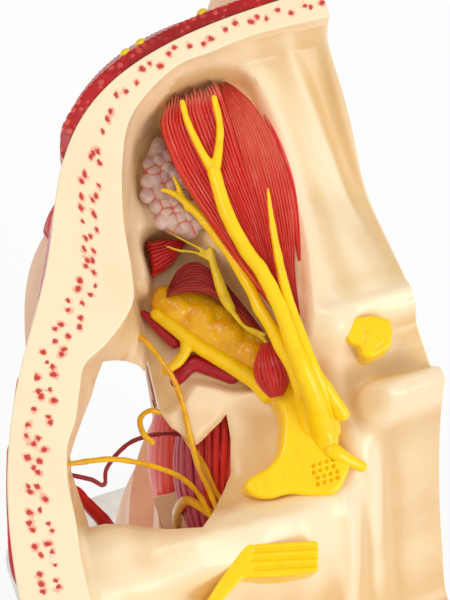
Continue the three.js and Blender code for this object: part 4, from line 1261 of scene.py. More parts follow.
@dataclass(frozen=True)
class SkinFinish:
    """Matt painted skin over the outside, and a flesh-coloured cut in the median plane."""

    light: Colour = (238, 196, 160)
    flush: Colour = (222, 164, 132)
    flesh: Colour = (196, 92, 76)
    fat: Colour = (226, 186, 110)
    bone: Colour = (252, 226, 190)

    def material(self, name: str) -> bpy.types.Material:
        """The material.

        Args:
            name: Its name.

        Returns:
            The material, with its nodes.
        """
        kit = Shader(name)
        place = kit.places()
        cloud = kit.noise(place, 0.03, 4.0, 0.6)
        pores = kit.cells(place, 1.1)
        skin = kit.mix(cloud.step(0.35, 0.7), self.light, self.flush)
        strands = kit.noise(kit.places((0.3, 0, 0), (0.3, 0.16, 0.9)), 1.0, 4.0, 0.6)
        lumps = kit.cells(place, 0.25, "SMOOTH_F1")
        flesh = kit.mix(strands.step(0.5, 0.68), self.flesh, self.fat)
        median = kit.axis(place, "X").step(MEDIAN_LEVEL + 0.35, MEDIAN_LEVEL + 0.15)
        colour = kit.mix(kit.attribute("bone"), kit.mix(median, skin, flesh), self.bone)
        normal = kit.bump(pores * 0.5 + cloud + median * lumps, 0.22, 0.5)
        return kit.finish(colour, 0.46 + 0.14 * cloud, normal)


@dataclass(frozen=True)
class EyeFinish:
    """A white eyeball with a brown iris and a black pupil, all glossy."""

    white: Colour = (240, 234, 224)
    iris: Colour = (104, 66, 38)
    rim: Colour = (52, 32, 22)

    def material(self, name: str, centre: Vector) -> bpy.types.Material:
        """The material of an eye about its centre in millimetres.

        Args:
            name: Its name.
            centre: Middle of the eye in the frame.

        Returns:
            The material, with its nodes.
        """
        kit = Shader(name)
        place = kit.places()
        x = kit.axis(place, "X") - centre.x
        z = kit.axis(place, "Z") - centre.z
        front = kit.axis(place, "Y").step(centre.y - 4, centre.y - 6)
        span = (x * x + z * z) ** 0.5
        rays = kit.noise(kit.places((0, 0, 0), (1.6, 0.2, 1.6)), 1.0, 3.0)
        ring = kit.mix((rays * 0.8 + span / 14).step(0.4, 0.9), self.iris, self.rim)
        colour = kit.mix(span.step(5.9, 5.5) * front, self.white, ring)
        colour = kit.mix(span.step(2.3, 2.0) * front, colour, (12, 10, 10))
        return kit.finish(colour, 0.12 + 0.04 * rays, None, coat_weight=0.8, coat_roughness=0.05)


@dataclass(frozen=True)
class PlainFinish:
    """Turned metal, painted board or rubber, told apart by its numbers."""

    light: Colour
    dark: Colour
    rough: float
    metallic: float = 0.0
    grain: Place = (1.0, 1.0, 1.0)
    scale: float = 1.0
    bumps: float = 0.05

    def material(self, name: str) -> bpy.types.Material:
        """The material.

        Args:
            name: Its name.

        Returns:
            The material, with its nodes.
        """
        kit = Shader(name)
        lines = kit.noise(kit.places((0, 0, 0), self.grain), self.scale, 3.0, 0.6)
        colour = kit.mix(lines.step(0.3, 0.7), self.light, self.dark)
        normal = kit.bump(lines, self.bumps, 0.6)
        return kit.finish(colour, self.rough + 0.12 * lines, normal, metallic=self.metallic)


# Levels in the frame: the top of the sawn rim and the median plane
TOP_LEVEL = CUT_HEIGHT + HEAD_RISE
MEDIAN_LEVEL = -STAND_CENTRE[0]
NERVE = CordFinish((255, 212, 4), (246, 182, 2), 0.35)
NERVE_GOLD = CordFinish((240, 184, 16), (204, 132, 10), 0.7)
NERVE_PALE = CordFinish((236, 206, 40), (214, 168, 26), 0.6)
ARTERY = CordFinish((206, 18, 28), (138, 6, 18), 0.6)
ARTERY_DUSK = CordFinish((158, 44, 60), (104, 18, 38), 0.7)
ARTERY_DARK = CordFinish((178, 22, 40), (116, 6, 26), 0.7)


# Muscles as sheets of fibres


Surface = Callable[[Array, Array, Array], Array]


@dataclass
class FibreSheet:
    """A closed sheet of rounded fibres over a surface with two coordinates.

    The surface takes shares across and along, and a lift over its base, and gives points.
    """

    surface: Surface
    fibres: float
    thick: float
    groove: float = 0.3
    across: int = 90
    along: int = 70
    fray: tuple[float, float] = (0.0, 0.0)
    crown: float = 0.0
    edge: float = 0.12
    seed: int = 0

    def warp(self, a: Array, b: Array) -> Array:
        """Fibre numbers across, wavering slowly along the sheet."""
        wave = np.sin(b * 5.1 + self.seed) * 0.12 + np.sin(b * 11.3 + a * 7 + self.seed * 2) * 0.07
        return a * self.fibres + wave * 2.2

    def lift(self, a: Array, b: Array) -> tuple[Array, Array]:
        """Height over the base, and how high on a ridge each place lies.

        Args:
            a: Shares across.
            b: Shares along.

        Returns:
            The heights and the ridge shares.
        """
        number = self.warp(a, b)
        ridge = np.abs(np.sin(math.pi * number)) ** 0.55
        fine = np.abs(np.sin(math.pi * number * 3.3 + 0.6 * np.sin(b * 9))) ** 0.7
        body = np.clip(np.minimum(a, 1 - a) / self.edge, 0, 1) ** 0.5
        ends = np.clip(np.minimum(b, 1 - b) / 0.03, 0, 1) ** 0.5
        crown = self.crown * (1 - (2 * a - 1) ** 2)
        height = self.thick + crown + self.groove * (0.72 * ridge + 0.28 * fine - 1)
        return np.maximum(height, 0.15 * self.thick) * body * ends, ridge

    def form(self) -> bmesh.types.BMesh:
        """The sheet, with millimetre-like surface coordinates and its ridges stored."""
        a_line = np.linspace(0, 1, self.across)
        b_line = np.linspace(0, 1, self.along)
        a, b = np.meshgrid(a_line, b_line)
        frayed = b
        if any(self.fray):
            number = self.warp(a, b * 0)
            whole = np.floor(number)
            tooth = np.abs(np.sin(math.pi * number)) ** 0.8
            rough_at = np.abs(np.sin(whole * 12.9898 + self.seed * 3.7) * 43758.5453) % 1
            start = self.fray[0] * (tooth * (0.35 + 0.65 * rough_at))
            end = self.fray[1] * (tooth * (0.35 + 0.65 * ((rough_at * 7.7) % 1)))
            frayed = -start * (1 - b) ** 6 + b + end * b**6
        lift, ridge = self.lift(a, b)
        top = self.surface(a, frayed, lift)
        low = self.surface(a, frayed, np.zeros_like(lift))
        points = np.concatenate([top, low[:, ::-1]], axis=1)
        points = np.concatenate([points, points[:, :1]], axis=1)
        # the ridge mark, cut to a third on the underside, lets the finish paint more of its darker ground there as
        # painted shade
        marks = np.concatenate([ridge, ridge[:, ::-1] * 0.3, ridge[:, :1]], axis=1)
        length = float(np.linalg.norm(np.diff(top[:, self.across // 2], axis=0), axis=1).sum())
        u = np.concatenate([a, a[:, ::-1], a[:, :1]], axis=1) * self.fibres
        v = np.concatenate([b, b[:, ::-1], b[:, :1]], axis=1) * length
        bm = patch(points, np.stack([u, v], axis=-1))
        layer = bm.verts.layers.float.new("ridge")
        for vert, mark in zip(bm.verts, marks.ravel()):
            vert[layer] = float(mark)
        return closed_up(bm)


def between(left: Sequence[Place], right: Sequence[Place], up: Place = (0, 0, 1)) -> Surface:
    """A surface ruled between two smooth edge lines, raised along one direction.

    Args:
        left: One edge.
        right: The other edge.
        up: Where a lift goes.

    Returns:
        The surface.
    """
    lines = [smooth_path(side) for side in (left, right)]
    raise_by = np.array(up, float)

    def surface(a: Array, b: Array, lift: Array) -> Array:
        """Points at shares across and along."""
        ends = []
        for line in lines:
            length = arc_lengths(line)
            over = np.minimum(b, 0)[..., None] * (line[8] - line[0]) / max(length[8], 1e-6)
            past = np.maximum(b - 1, 0)[..., None] * (line[-1] - line[-9]) / max(length[-1] - length[-9], 1e-6)
            ends.append(resampled(line, np.clip(b, 0, 1)) + (over + past) * length[-1])
        return ends[0] * (1 - a[..., None]) + ends[1] * a[..., None] + lift[..., None] * raise_by

    return surface


def round_belly(start: Place, end: Place, wide: float, deep: float, turn: float = 0.0) -> Surface:
    """A spindle from one place to another; across goes once round it.

    Args:
        start: One end.
        end: The other end.
        wide: Its half width.
        deep: Its half depth.
        turn: Where its seam lies.

    Returns:
        The surface.
    """
    first, last = np.array(start, float), np.array(end, float)
    way = (last - first) / np.linalg.norm(last - first)
    side = np.cross(way, (0.0, 1.0, 0.2))
    side /= np.linalg.norm(side)
    up = np.cross(side, way)

    def surface(a: Array, b: Array, lift: Array) -> Array:
        """Points round and along the spindle."""
        angle = 2 * math.pi * a + turn
        share = np.clip(b, 0, 1)
        swell = np.sin(math.pi * (0.08 + 0.84 * share)) ** 0.75
        centre = first + (last - first) * b[..., None]
        ring = np.cos(angle)[..., None] * side * wide + np.sin(angle)[..., None] * up * deep
        return centre + ring * (swell * (1 + lift / max(wide, deep)))[..., None]

    return surface


@dataclass
class Belly:
    """A spindle of fibres, closed at both ends."""

    start: Place
    end: Place
    wide: float
    deep: float
    fibres: int
    groove: float = 0.4
    turn: float = 0.0
    fray: float = 0.0
    around: int = 120
    along: int = 60
    seed: int = 0

    def form(self) -> bmesh.types.BMesh:
        """The spindle's mesh, with surface coordinates and ridges stored."""
        surface = round_belly(self.start, self.end, self.wide, self.deep, self.turn)
        a, b = np.meshgrid(np.linspace(0, 1, self.around + 1), np.linspace(0, 1, self.along))
        number = a * self.fibres + 0.18 * np.sin(b * 7 + self.seed) * np.sin(2 * math.pi * a)
        ridge = np.abs(np.sin(math.pi * number)) ** 0.55
        tooth = np.abs(np.sin(math.pi * number)) ** 0.9
        frayed = b - self.fray * tooth * (1 - b) ** 8
        points = surface(a, frayed, self.groove * (ridge - 1))
        points[0] = points[0].mean(axis=0) if not self.fray else points[0]
        length = float(np.linalg.norm(np.array(self.end, float) - np.array(self.start, float)))
        bm = patch(points, np.stack([number, b * length], axis=-1))
        layer = bm.verts.layers.float.new("ridge")
        for vert, mark in zip(bm.verts, ridge.ravel()):
            vert[layer] = float(mark)
        return closed_up(bm)


class Paint(Protocol):
    """A finish that can make its material."""

    def material(self, name: str) -> bpy.types.Material:
        """The material, under a name."""


# The bench on which pieces are placed in the frame


@dataclass
class Bench:
    """Turns pieces in millimetres into dressed pieces of the frame."""

    move: Matrix

    @classmethod
    def from_frame(cls) -> Bench:
        """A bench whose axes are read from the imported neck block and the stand's axis."""
        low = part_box("neck_block")[0]
        shift = Matrix.Translation((-STAND_CENTRE[0], -STAND_CENTRE[1], low.z * 1000 - NECK_END))
        return cls(Matrix.Scale(0.001, 4) @ shift)

    def show(
        self,
        form: Solid | bmesh.types.BMesh,
        name: str,
        slot: str,
        paint: Paint | bpy.types.Material,
        node: str = "",
        body: str = HEAD_BODY,
        marks: dict[str, Array] | None = None,
        crisp: float = 40.0,
    ) -> None:
        """Puts a finished piece into the scene.

        Args:
            form: Its form in the head's axes.
            name: Its name, which ends with _form.
            slot: Not used.
            paint: Its material, or the finish that makes one.
            node: The CAD node that it stands for, where its name doesn't say so.
            body: The body that it rides on.
            marks: Numbers to store on its vertices.
            crisp: The angle in degrees past which an edge looks sharp.
        """
        mesh = form.mesh if isinstance(form, Solid) else mesh_of(form)
        if not isinstance(paint, bpy.types.Material):
            paint = paint.material(name.replace("_form", "_paint"))
        for key, values in (marks or {}).items():
            layer = mesh.attributes.new(key, "FLOAT", "POINT")
            layer.data.foreach_set("value", np.asarray(values, np.float32))
        mesh.transform(self.move)
        mesh.materials.clear()
        mesh.materials.append(paint)
        mesh.shade_smooth()
        mesh.set_sharp_from_angle(angle=math.radians(crisp))
        mesh.name = name
        piece = bpy.data.objects.new(name, mesh)
        bpy.context.scene.collection.objects.link(piece)
        node = node or name.removesuffix("_form")
        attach(piece, body)
        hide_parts(node)
        LOG.info("%s: %d faces, for %s", name, len(mesh.polygons), node)


def vertices(solid: Solid) -> Array:
    """The places of a solid's vertices."""
    flat = np.empty(len(solid.mesh.vertices) * 3)
    solid.mesh.vertices.foreach_get("co", flat)
    return flat.reshape(-1, 3)


def loft(rings: Sequence[Array]) -> Solid:
    """A solid through closed rings with as many points each."""
    points = np.stack([np.vstack([ring, ring[:1]]) for ring in rings])
    return Solid.of(closed_up(patch(points)))


def flat_ring(outline: Iterable[Flat], height: float) -> Array:
    """An outline at a height."""
    return np.array([(x, y, height) for x, y in outline], float)


# Camera of the photograph, in the head's axes
CAMERA = np.array((111.85, 54.54, 418.87))
IMAGE_RIGHT = Vector((-0.9376568, 0.32465605, 0.12408939))
IMAGE_DOWN = Vector((0.29165706, 0.9291647, -0.22713239))
VIEW_WAY = Vector((-0.18903938, -0.17678068, -0.96592583))
LENS = 159.25

# The window's edge, where a line of sight through it meets the height of the sella
WINDOW: tuple[Flat, ...] = (
    (52.2, -18.4), (50.5, -18.1), (48.6, -17.4), (46.9, -16.1), (46.0, -14.1), (46.8, -11.3), (46.3, -9.2),
    (45.9, -7.3), (45.2, -4.9), (43.9, -3.2), (43.2, -2.1), (42.1, -0.8), (40.9, -1.3), (39, -2.3), (37, -3.3),
    (35.9, -4.1), (36.2, -2), (36.5, -0.2), (38.4, 5.3), (40.2, 7.4), (42.5, 9.7), (43.5, 10.6), (45.5, 12.1),
    (51.1, 10.6), (54.5, 9.1), (57.6, 7.6), (60.3, 6.7), (62.8, 6.5), (62.7, 3.2), (62.7, -2.9), (62.1, -5.4),
    (60.7, -7.4), (58.2, -10.6), (55.8, -13.5), (54.3, -15.8),
)
OPEN_SIDE_TOP: tuple[Flat, ...] = ((43, -21.5), (58, -25), (96, -40), (96, 14), (58, 14), (51, 13), (44.5, -5))
OPEN_SIDE_BOTTOM: tuple[Flat, ...] = (
    (25.5, -43), (45, -47), (96, -60), (96, 10), (58, 10), (38, 2), (29, -22),
)


def toward_camera(x: Array, y: Array, from_height: Array, to_height: float) -> tuple[Array, Array]:
    """Where the lines of sight through places at one height pass another height."""
    share = (CAMERA[2] - to_height) / (CAMERA[2] - from_height)
    return CAMERA[0] + (x - CAMERA[0]) * share, CAMERA[1] + (y - CAMERA[1]) * share


def window_cut() -> Solid:
    """The form that opens the window, along the photograph's lines of sight."""
    outline = np.array(WINDOW)
    rings = []
    for height in (-66.0, 20.0):
        x, y = toward_camera(outline[:, 0], outline[:, 1], 0.0, height)
        rings.append(flat_ring(zip(x, y), height))
    return loft(rings)


def open_side_cut(grow: float = 0.0) -> Solid:
    """The form that takes away the jaw's branch and what lies on it."""
    bottom = flat_ring(OPEN_SIDE_BOTTOM, -124.0 - grow)
    return loft([bottom, flat_ring(OPEN_SIDE_TOP, -12.0)])


def section_block(section: Sequence[Flat]) -> Solid:
    """The half head between the limits of a section in y and z."""
    return HEAD.solid().common(bar(section, -1, PAST_SIDE))


def lowered(outline: Sequence[Flat], by: float = SEAT_GAP) -> list[Flat]:
    """An outline moved down."""
    return [(y, z - by) for y, z in outline]


@dataclass
class SkullBase:
    """The sawn skull base, with its pockets and its window."""

    bench: Bench
    form: SkullForm = SkullForm()
    finish: BoneFinish = BoneFinish()
    lip: float = 2.6

    def rolled(self, solid: Solid) -> Solid:
        """The skin with its floor rolled down into the window.

        Args:
            solid: The whole skin.

        Returns:
            The rolled skin.
        """
        bm = bmesh.new()
        bm.from_mesh(solid.mesh)
        spots = np.array([vert.co for vert in bm.verts])
        x, y = toward_camera(spots[:, 0], spots[:, 1], spots[:, 2], 0.0)
        near = inside_distance(np.array(WINDOW), x, y)
        inside = (near > -self.lip) & (spots[:, 2] < 8) & (spots[:, 2] > -45) & (spots[:, 1] < 25)
        share = np.clip((near + self.lip) / self.lip, 0, 1)
        drop = self.lip * 0.55 * (1 - np.sqrt(1 - np.minimum(share, 0.999) ** 2)) * inside
        for vert, fall in zip(bm.verts, drop):
            vert.co.z -= float(fall)
        return Solid.of(bm)

    def painted_hollow_shade(self, solid: Solid) -> Array:
        """Painted shade at each vertex, from how hollow the floor is there, for the tan of the bone finish.

        Args:
            solid: The cut skull.

        Returns:
            Shares of the tan painted shade.
        """
        spots = vertices(solid)
        x, y = spots[:, 0], spots[:, 1]
        floor = self.form.floor
        own = floor.height(x, y)
        around = np.zeros_like(x)
        turns = np.arange(6) * math.pi / 3
        for turn in turns:
            around += floor.height(np.maximum(x + 4.5 * math.cos(turn), 0), y + 4.5 * math.sin(turn))
        hollow = around / len(turns) - own
        on_floor = np.abs(spots[:, 2] - own) < 3.0
        wall = smooth_step(spots[:, 2] - own, 1.0, 4.0) * (spots[:, 2] < CUT_HEIGHT - 0.6) * (np.abs(x) > 0.2)
        # painted shade: a tan tint over the floor, more where it is hollow and on the walls, less on rises
        value = (np.clip(hollow / 2.4, -0.3, 0.4) + 0.36) * on_floor + 0.3 * wall
        return np.where(x < 0.05, 0.1, value)

    def build(self) -> None:
        """Makes and dresses the skull base."""
        skin = self.rolled(Solid.of(self.form.skin()))
        section = [(AHEAD, -14), *SKULL_UNDERSIDE, (BEHIND, -90), (AHEAD, -90)]
        under = bar(section, -2, PAST_SIDE)
        solid = skin.cut(under, window_cut(), open_side_cut())
        # the hollow mark carries this painted shade to the bone finish
        marks = {"hollow": self.painted_hollow_shade(solid)}
        self.bench.show(solid, "skull_base_form", "bone", self.finish, marks=marks, crisp=42)


@dataclass
class HeadBlocks:
    """Face, lower jaw and neck below the skull base, with an ear and an eyeball."""

    bench: Bench
    skin: SkinFinish = SkinFinish()
    ear_place: Flat = (27.0, -26.0)
    ear_tilt: float = 0.16
    branch_near: float = 37.5
    branch_far: float = 44.5
    branch_lean: float = 0.155
    branch_rows: tuple[tuple[float, ...], ...] = (  # height, inner y, outer y, back y, slant
        (-95, -18, -6, 10, 3.6), (-84, -13, -4.6, 13, 3.8), (-72, -4, -3.4, 14, 2.4), (-50, -0.5, -0.6, 12, 2.4),
    )
    throat: tuple[Flat, ...] = THROAT_BACK

    def build(self) -> None:
        """Makes and dresses the blocks."""
        material = self.skin.material("painted_skin")
        side = open_side_cut()
        window = window_cut()
        self.face(material, side, window)
        self.jaw(material, side)
        self.neck(material, side, window)
        self.ear(material)
        self.eye()

    def face(self, material: bpy.types.Material, side: Solid, window: Solid) -> None:
        """The face between the brow and the upper teeth.

        Args:
            material: Its skin.
            side: The form that opens the side.
            window: The form that opens the window.
        """
        section = [(AHEAD, -14 - SEAT_GAP), *lowered(SKULL_UNDERSIDE[:4]), *reversed(JAW_TOP)]
        socket = Solid.of(lump(tuple(EYE), (EYE_RADIUS + SEAT_GAP,) * 3, detail=4))
        way = Solid.of(tube([(EYE.x, EYE.y - 4, EYE.z), (EYE.x, EYE.y - 30, EYE.z)], EYE_RADIUS * 0.88, 32, 2))
        nose = bar(Inlays.conchae_pocket, -PAST_MEDIAN, Inlays.nasal_depth + SEAT_GAP)
        mouth = pocket(Inlays.tongue_outline, Inlays.tongue_depth)
        block = section_block(section).cut(side, window, socket, way, nose, mouth)
        self.bench.show(block, "face_block_form", "skin", material)

    def jaw(self, material: bpy.types.Material, side: Solid) -> None:
        """The lower jaw, with the part of its branch that stays behind the window.

        Args:
            material: Its skin.
            side: The form that opens the side.
        """
        section = [*lowered(JAW_TOP), *self.throat[1:], (AHEAD, CHIN_UNDERSIDE)]
        mouth = pocket(Inlays.tongue_outline, Inlays.tongue_depth)
        block = section_block(section).cut(side, mouth)
        whole = block.combined(self.branch(0), Join.ADD)
        spots = vertices(whole)
        far = self.branch_far + self.branch_lean * (spots[:, 2] + 50)
        on_branch = (spots[:, 1] > -18.5) & (spots[:, 1] < 15) & (spots[:, 2] > -95) & (spots[:, 2] < -49)
        bone = on_branch & (spots[:, 0] < far + 0.6) & (spots[:, 0] > self.branch_near - 8)
        self.bench.show(whole, "lower_jaw_form", "skin", material, marks={"bone": bone.astype(float)})

    def branch(self, grow: float) -> Solid:
        """The jaw's branch behind the window, grown by a distance for the room that it needs.

        Args:
            grow: That distance.

        Returns:
            The solid.
        """
        rings = []
        for height, inner, outer, back, slant in self.branch_rows:
            lean = self.branch_lean * (height + 50)
            near, far = self.branch_near + lean - grow, self.branch_far + lean + grow
            ring = [(near, inner - grow), (far - slant, inner - grow), (far, outer - grow), (far, back + grow),
                    (near, back + grow)]
            rings.append(flat_ring(ring, height + (grow if height > -60 else 0)))
        return loft(rings)

    def neck(self, material: bpy.types.Material, side: Solid, window: Solid) -> None:
        """The neck with the back of the head, bored for the bush.

        Args:
            material: Its skin.
            side: The form that opens the side.
            window: The form that opens the window.
        """
        behind = [(y + SEAT_GAP, z - SEAT_GAP) for y, z in reversed(self.throat)]
        section = [
            (-8 + SEAT_GAP, -28 - SEAT_GAP), *lowered(SKULL_UNDERSIDE[4:]), (BEHIND, BELOW), (FOREHEAD, BELOW),
            (FOREHEAD, CHIN_UNDERSIDE - SEAT_GAP), *behind,
        ]
        x, y = STAND_CENTRE
        bore = Solid.of(tube([(x, y, NECK_END - 12), (x, y, Stand.rod_tip + 9)], Stand.rod_radius + 1, 32, 4))
        seat = Solid.of(turned([(0, NECK_END - 10), (Stand.bush_radius + SEAT_GAP, NECK_END - 10),
                                (Stand.bush_radius + SEAT_GAP, NECK_END + Stand.bush_height + SEAT_GAP),
                                (0, NECK_END + Stand.bush_height + SEAT_GAP)]))
        cord = Inlays.cord_solid(SEAT_GAP)
        voice = pocket(Inlays.larynx_outline, Inlays.larynx_depth)
        spine = bar([(Inlays.spine_front - SEAT_GAP, -61), (Inlays.spine_back + SEAT_GAP, -61),
                     (Inlays.spine_back + SEAT_GAP, NECK_END - 2), (Inlays.spine_front - SEAT_GAP, NECK_END - 2)],
                    -PAST_MEDIAN, Inlays.spine_depth + SEAT_GAP)
        room = self.branch(SEAT_GAP)
        block = section_block(section).cut(side, window, bore, seat, cord, voice, spine, room)
        self.bench.show(block, "neck_block_form", "skin", material)

    def ear_spot(self, forward: float, up: float, out: float) -> Place:
        """A place on the ear from its own forward, upward and outward measures.

        Args:
            forward: Towards the face.
            up: Up the ear.
            out: Off the head.

        Returns:
            The place in the head's axes.
        """
        y, z = self.ear_place
        cos, sin = math.cos(self.ear_tilt), math.sin(self.ear_tilt)
        ahead, high = forward * cos + up * sin, up * cos - forward * sin
        base = float(HEAD.on_side(y, z)[0])
        return (base + out, y - ahead, z + high)

    def ear(self, material: bpy.types.Material) -> None:
        """The ear: rim, inner fold, tragus, lobe and a hollow shell.

        Args:
            material: Its skin.
        """
        spot = self.ear_spot
        rim = [(1, -2, 5), (6, 5, 6.5), (9.5, 14, 8.5), (6, 23, 10), (-3, 26.5, 10.5), (-11.5, 20.5, 11),
               (-14.6, 9, 11), (-13.4, -4, 9.8), (-9, -14, 8), (-4, -20.5, 6)]
        fold = [(-3.5, -11.5, 6.4), (-7.6, -4, 8), (-7.4, 5, 8.4), (-3.5, 12, 8), (2.5, 17, 7)]
        second = [(-4.4, 10.5, 8), (-4.6, 16, 8.4), (-2.4, 20, 8.4)]
        parts = [
            tube([spot(*p) for p in rim], [1.9, 2.0, 2.1, 2.2, 2.3, 2.3, 2.2, 2.2, 2.4, 2.6]),
            tube([spot(*p) for p in fold], [1.5, 1.8, 1.9, 1.7, 1.2]),
            tube([spot(*p) for p in second], [1.5, 1.5, 1.0]),
            lump(spot(-2.5, -21.5, 5), (2.8, 5.8, 6.4)),
            lump(spot(6.6, -5.5, 5.6), (3.0, 2.6, 4.0)),
            lump(spot(-2, 3, 1.6), (3.2, 12.6, 23.5), detail=4),
        ]
        stem = [tube([spot(f, u, -6), spot(f, u, 2)], 6.4) for f, u in ((0, 12), (0, 1), (0, -9))]
        whole = together(*parts, *stem).remeshed(0.6, 4)
        hollow = Solid.of(lump(spot(1.2, -2, 7.2), (4.6, 6.6, 8.6), detail=4))
        inner = Solid.of(lump(spot(-1, 14, 9.0), (4.0, 6.6, 8), detail=4))
        whole = whole.cut(hollow, inner).remeshed(0.5, 5)
        whole = whole.cut(HEAD.solid(SEAT_GAP))
        self.bench.show(whole, "ear_form", "skin", material, "auricle")

    def eye(self) -> None:
        """The eyeball with a raised cornea."""
        cornea = lump((EYE.x, EYE.y - 5.3, EYE.z), (7.2, 7.4, 7.2), detail=4)
        ball = lump(tuple(EYE), (EYE_RADIUS - 0.2,) * 3, detail=5)
        eye = together(ball, cornea).remeshed(0.3, 3)
        centre = Vector((EYE.x - STAND_CENTRE[0], EYE.y - STAND_CENTRE[1], EYE.z + HEAD_RISE))
        self.bench.show(eye, "eyeball_form", "eye", EyeFinish().material("eye_gloss", centre))


def grown(outline: Sequence[Flat], by: float) -> list[Flat]:
    """An outline moved outwards by a distance.

    Args:
        outline: Its corners.
        by: The distance.

    Returns:
        The new corners.
    """
    points = np.array(outline, float)
    turn = np.sign(np.sum(points[:, 0] * np.roll(points[:, 1], -1) - np.roll(points[:, 0], -1) * points[:, 1]))
    ahead = np.roll(points, -1, axis=0) - points
    normal = turn * np.stack([ahead[:, 1], -ahead[:, 0]], axis=-1)
    normal /= np.linalg.norm(normal, axis=1, keepdims=True)
    both = normal + np.roll(normal, 1, axis=0)
    both *= (2 / np.maximum((both**2).sum(axis=1, keepdims=True), 0.4))
    return [tuple(p) for p in points + by * both]


def pocket(outline: Sequence[Flat], depth: float) -> Solid:
    """The room in the median plane for an inlay, a seating gap wider and deeper than it."""
    return bar(grown(outline, SEAT_GAP), -PAST_MEDIAN, depth + SEAT_GAP)


def turned(profile: Sequence[Flat], steps: int = 64, centre: Flat = STAND_CENTRE) -> bmesh.types.BMesh:
    """A form spun about an upright axis.

    Args:
        profile: Radii and heights, from the axis to the axis.
        steps: Faces round it.
        centre: The axis in x and y.

    Returns:
        The closed form.
    """
    bm = bmesh.new()
    verts = [bm.verts.new((r, 0, z)) for r, z in profile]
    for a, b in zip(verts, verts[1:]):
        bm.edges.new((a, b))
    bmesh.ops.spin(
        bm, geom=bm.verts[:] + bm.edges[:], cent=(0, 0, 0), axis=(0, 0, 1), dvec=(0, 0, 0),
        angle=2 * math.pi, steps=steps, use_merge=True, use_duplicate=False,
    )
    bmesh.ops.translate(bm, verts=bm.verts, vec=(*centre, 0))
    return closed_up(bm, 1e-4)


@dataclass
class Inlays:
    """Pieces let into the median plane: tongue, nose, spine, spinal cord and voice box."""

    bench: Bench
    tongue_outline: tuple[Flat, ...] = (
        (-62, -78), (-58, -71), (-44, -68.6), (-28, -69.4), (-18, -77), (-16, -90), (-26, -98), (-44, -98), (-58, -90),
    )
    tongue_depth: float = 17.0
    larynx_outline: tuple[Flat, ...] = (
        (-31, -124), (-24, -119), (-12, -121), (-8, -130), (-8, -160), (-10, -168), (-24, -168), (-28, -150),
        (-32, -140),
    )
    larynx_depth: float = 10.0
    conchae_pocket: tuple[Flat, ...] = ((-72, -47), (-24, -47), (-24, -24), (-40, -20), (-62, -20), (-70, -34))
    nasal_depth: float = 9.0
    spine_top: float = -62.0
    spine_front: float = 8.0
    spine_back: float = 25.0
    spine_depth: float = 10.0
    disc_pitch: float = 18.0
    disc_height: float = 4.4
    cord_front: float = 28.5
    cord_back: float = 37.0
    cord_depth: float = 5.5

    @classmethod
    def cord_solid(cls, grow: float = 0.0) -> Solid:
        """The spinal cord, from the skull down to the end of the neck."""
        front, back = cls.cord_front - grow, cls.cord_back + grow
        outline = [(front, -58 + grow), (back, -58 + grow), (back, -168 - grow), (front, -168 - grow)]
        return bar(outline, -PAST_MEDIAN if grow else 0, cls.cord_depth + grow)

    @staticmethod
    def softened(solid: Solid, voxel: float = 0.5, smoothing: int = 5) -> Solid:
        """The inlay with rounded edges, trimmed flat at the median plane."""
        round_form = solid.remeshed(voxel, smoothing)
        return round_form.cut(bar([(-120, -200), (140, -200), (140, 40), (-120, 40)], -12, 0.02))

    def build(self) -> None:
        """Makes and dresses the inlays."""
        flesh = MarkedFinish((222, 96, 88), (240, 176, 160), (204, 74, 70), scale=0.4)
        tongue = self.softened(bar(self.tongue_outline, -2, self.tongue_depth - 0.3)).roughened(0.3, 3)
        self.bench.show(tongue, "tongue_form", "pink_muscle", flesh)
        self.conchae(flesh)
        self.spine()
        cord = self.softened(self.cord_solid().combined(
            bar([(30, -57), (35.5, -57), (35.5, -169), (30, -169)], -2, self.cord_depth), Join.ADD
        ), 0.5, 6)
        pale = MarkedFinish((240, 226, 190), (240, 226, 190), (226, 202, 150), scale=0.25)
        self.bench.show(cord, "spinal_cord_form", "cord", pale)
        voice = self.softened(bar(self.larynx_outline, -2, self.larynx_depth - 0.3)).roughened(0.35, 2.6)
        self.bench.show(voice, "larynx_form", "pink_muscle", flesh)

    def conchae(self, flesh: MarkedFinish) -> None:
        """The three rolls on the nose's outer wall.

        Args:
            flesh: Their finish.
        """
        rolls = [
            ([(6.4, -60, -24.5), (4.6, -48, -24), (6.4, -34, -27)], 1.8),
            ([(6.2, -66, -33), (4, -50, -31), (6.2, -30, -34)], 2.3),
            ([(6.2, -68, -42), (4, -50, -40), (6.2, -29, -42)], 2.5),
        ]
        forms = [tube(points, radius) for points, radius in rolls]
        wall = bar(grown(self.conchae_pocket, -0.4), self.nasal_depth - 2, self.nasal_depth - 0.1)
        bm = bmesh.new()
        bm.from_mesh(wall.mesh)
        whole = together(*forms, bm).remeshed(0.45, 4).roughened(0.25, 3)
        self.bench.show(whole, "nasal_conchae_form", "pink_muscle", flesh)

    def spine(self) -> None:
        """The halved neck vertebrae with their discs as one column."""
        bones, discs = [], []
        level, front, back = self.spine_top, self.spine_front, self.spine_back
        while level > NECK_END + 2:
            low = max(level - self.disc_pitch + self.disc_height, NECK_END + 0.6)
            bones.append([(front, level), (back, level), (back, low), (front, low), (front + 1.3, (level + low) / 2)])
            bottom = max(low - self.disc_height, NECK_END + 0.3)
            if bottom < low - 1:
                discs.append([(front + 0.8, low + 0.8), (back - 0.8, low + 0.8), (back - 0.8, bottom - 0.8),
                              (front + 0.8, bottom - 0.8)])
            level -= self.disc_pitch
        forms = []
        for outline in bones + discs:
            bm = bmesh.new()
            bm.from_mesh(bar(outline, -2, self.spine_depth - 0.3).mesh)
            forms.append(bm)
        column = self.softened(together(*forms), 0.5, 4)
        spots = vertices(column)
        phase = (self.spine_top - spots[:, 2]) % self.disc_pitch
        disc = (phase > self.disc_pitch - 4.6).astype(float)
        finish = MarkedFinish((240, 216, 172), (150, 178, 186), (226, 194, 142), scale=0.5)
        self.bench.show(column, "cervical_spine_form", "bone", finish, marks={"mark": disc})


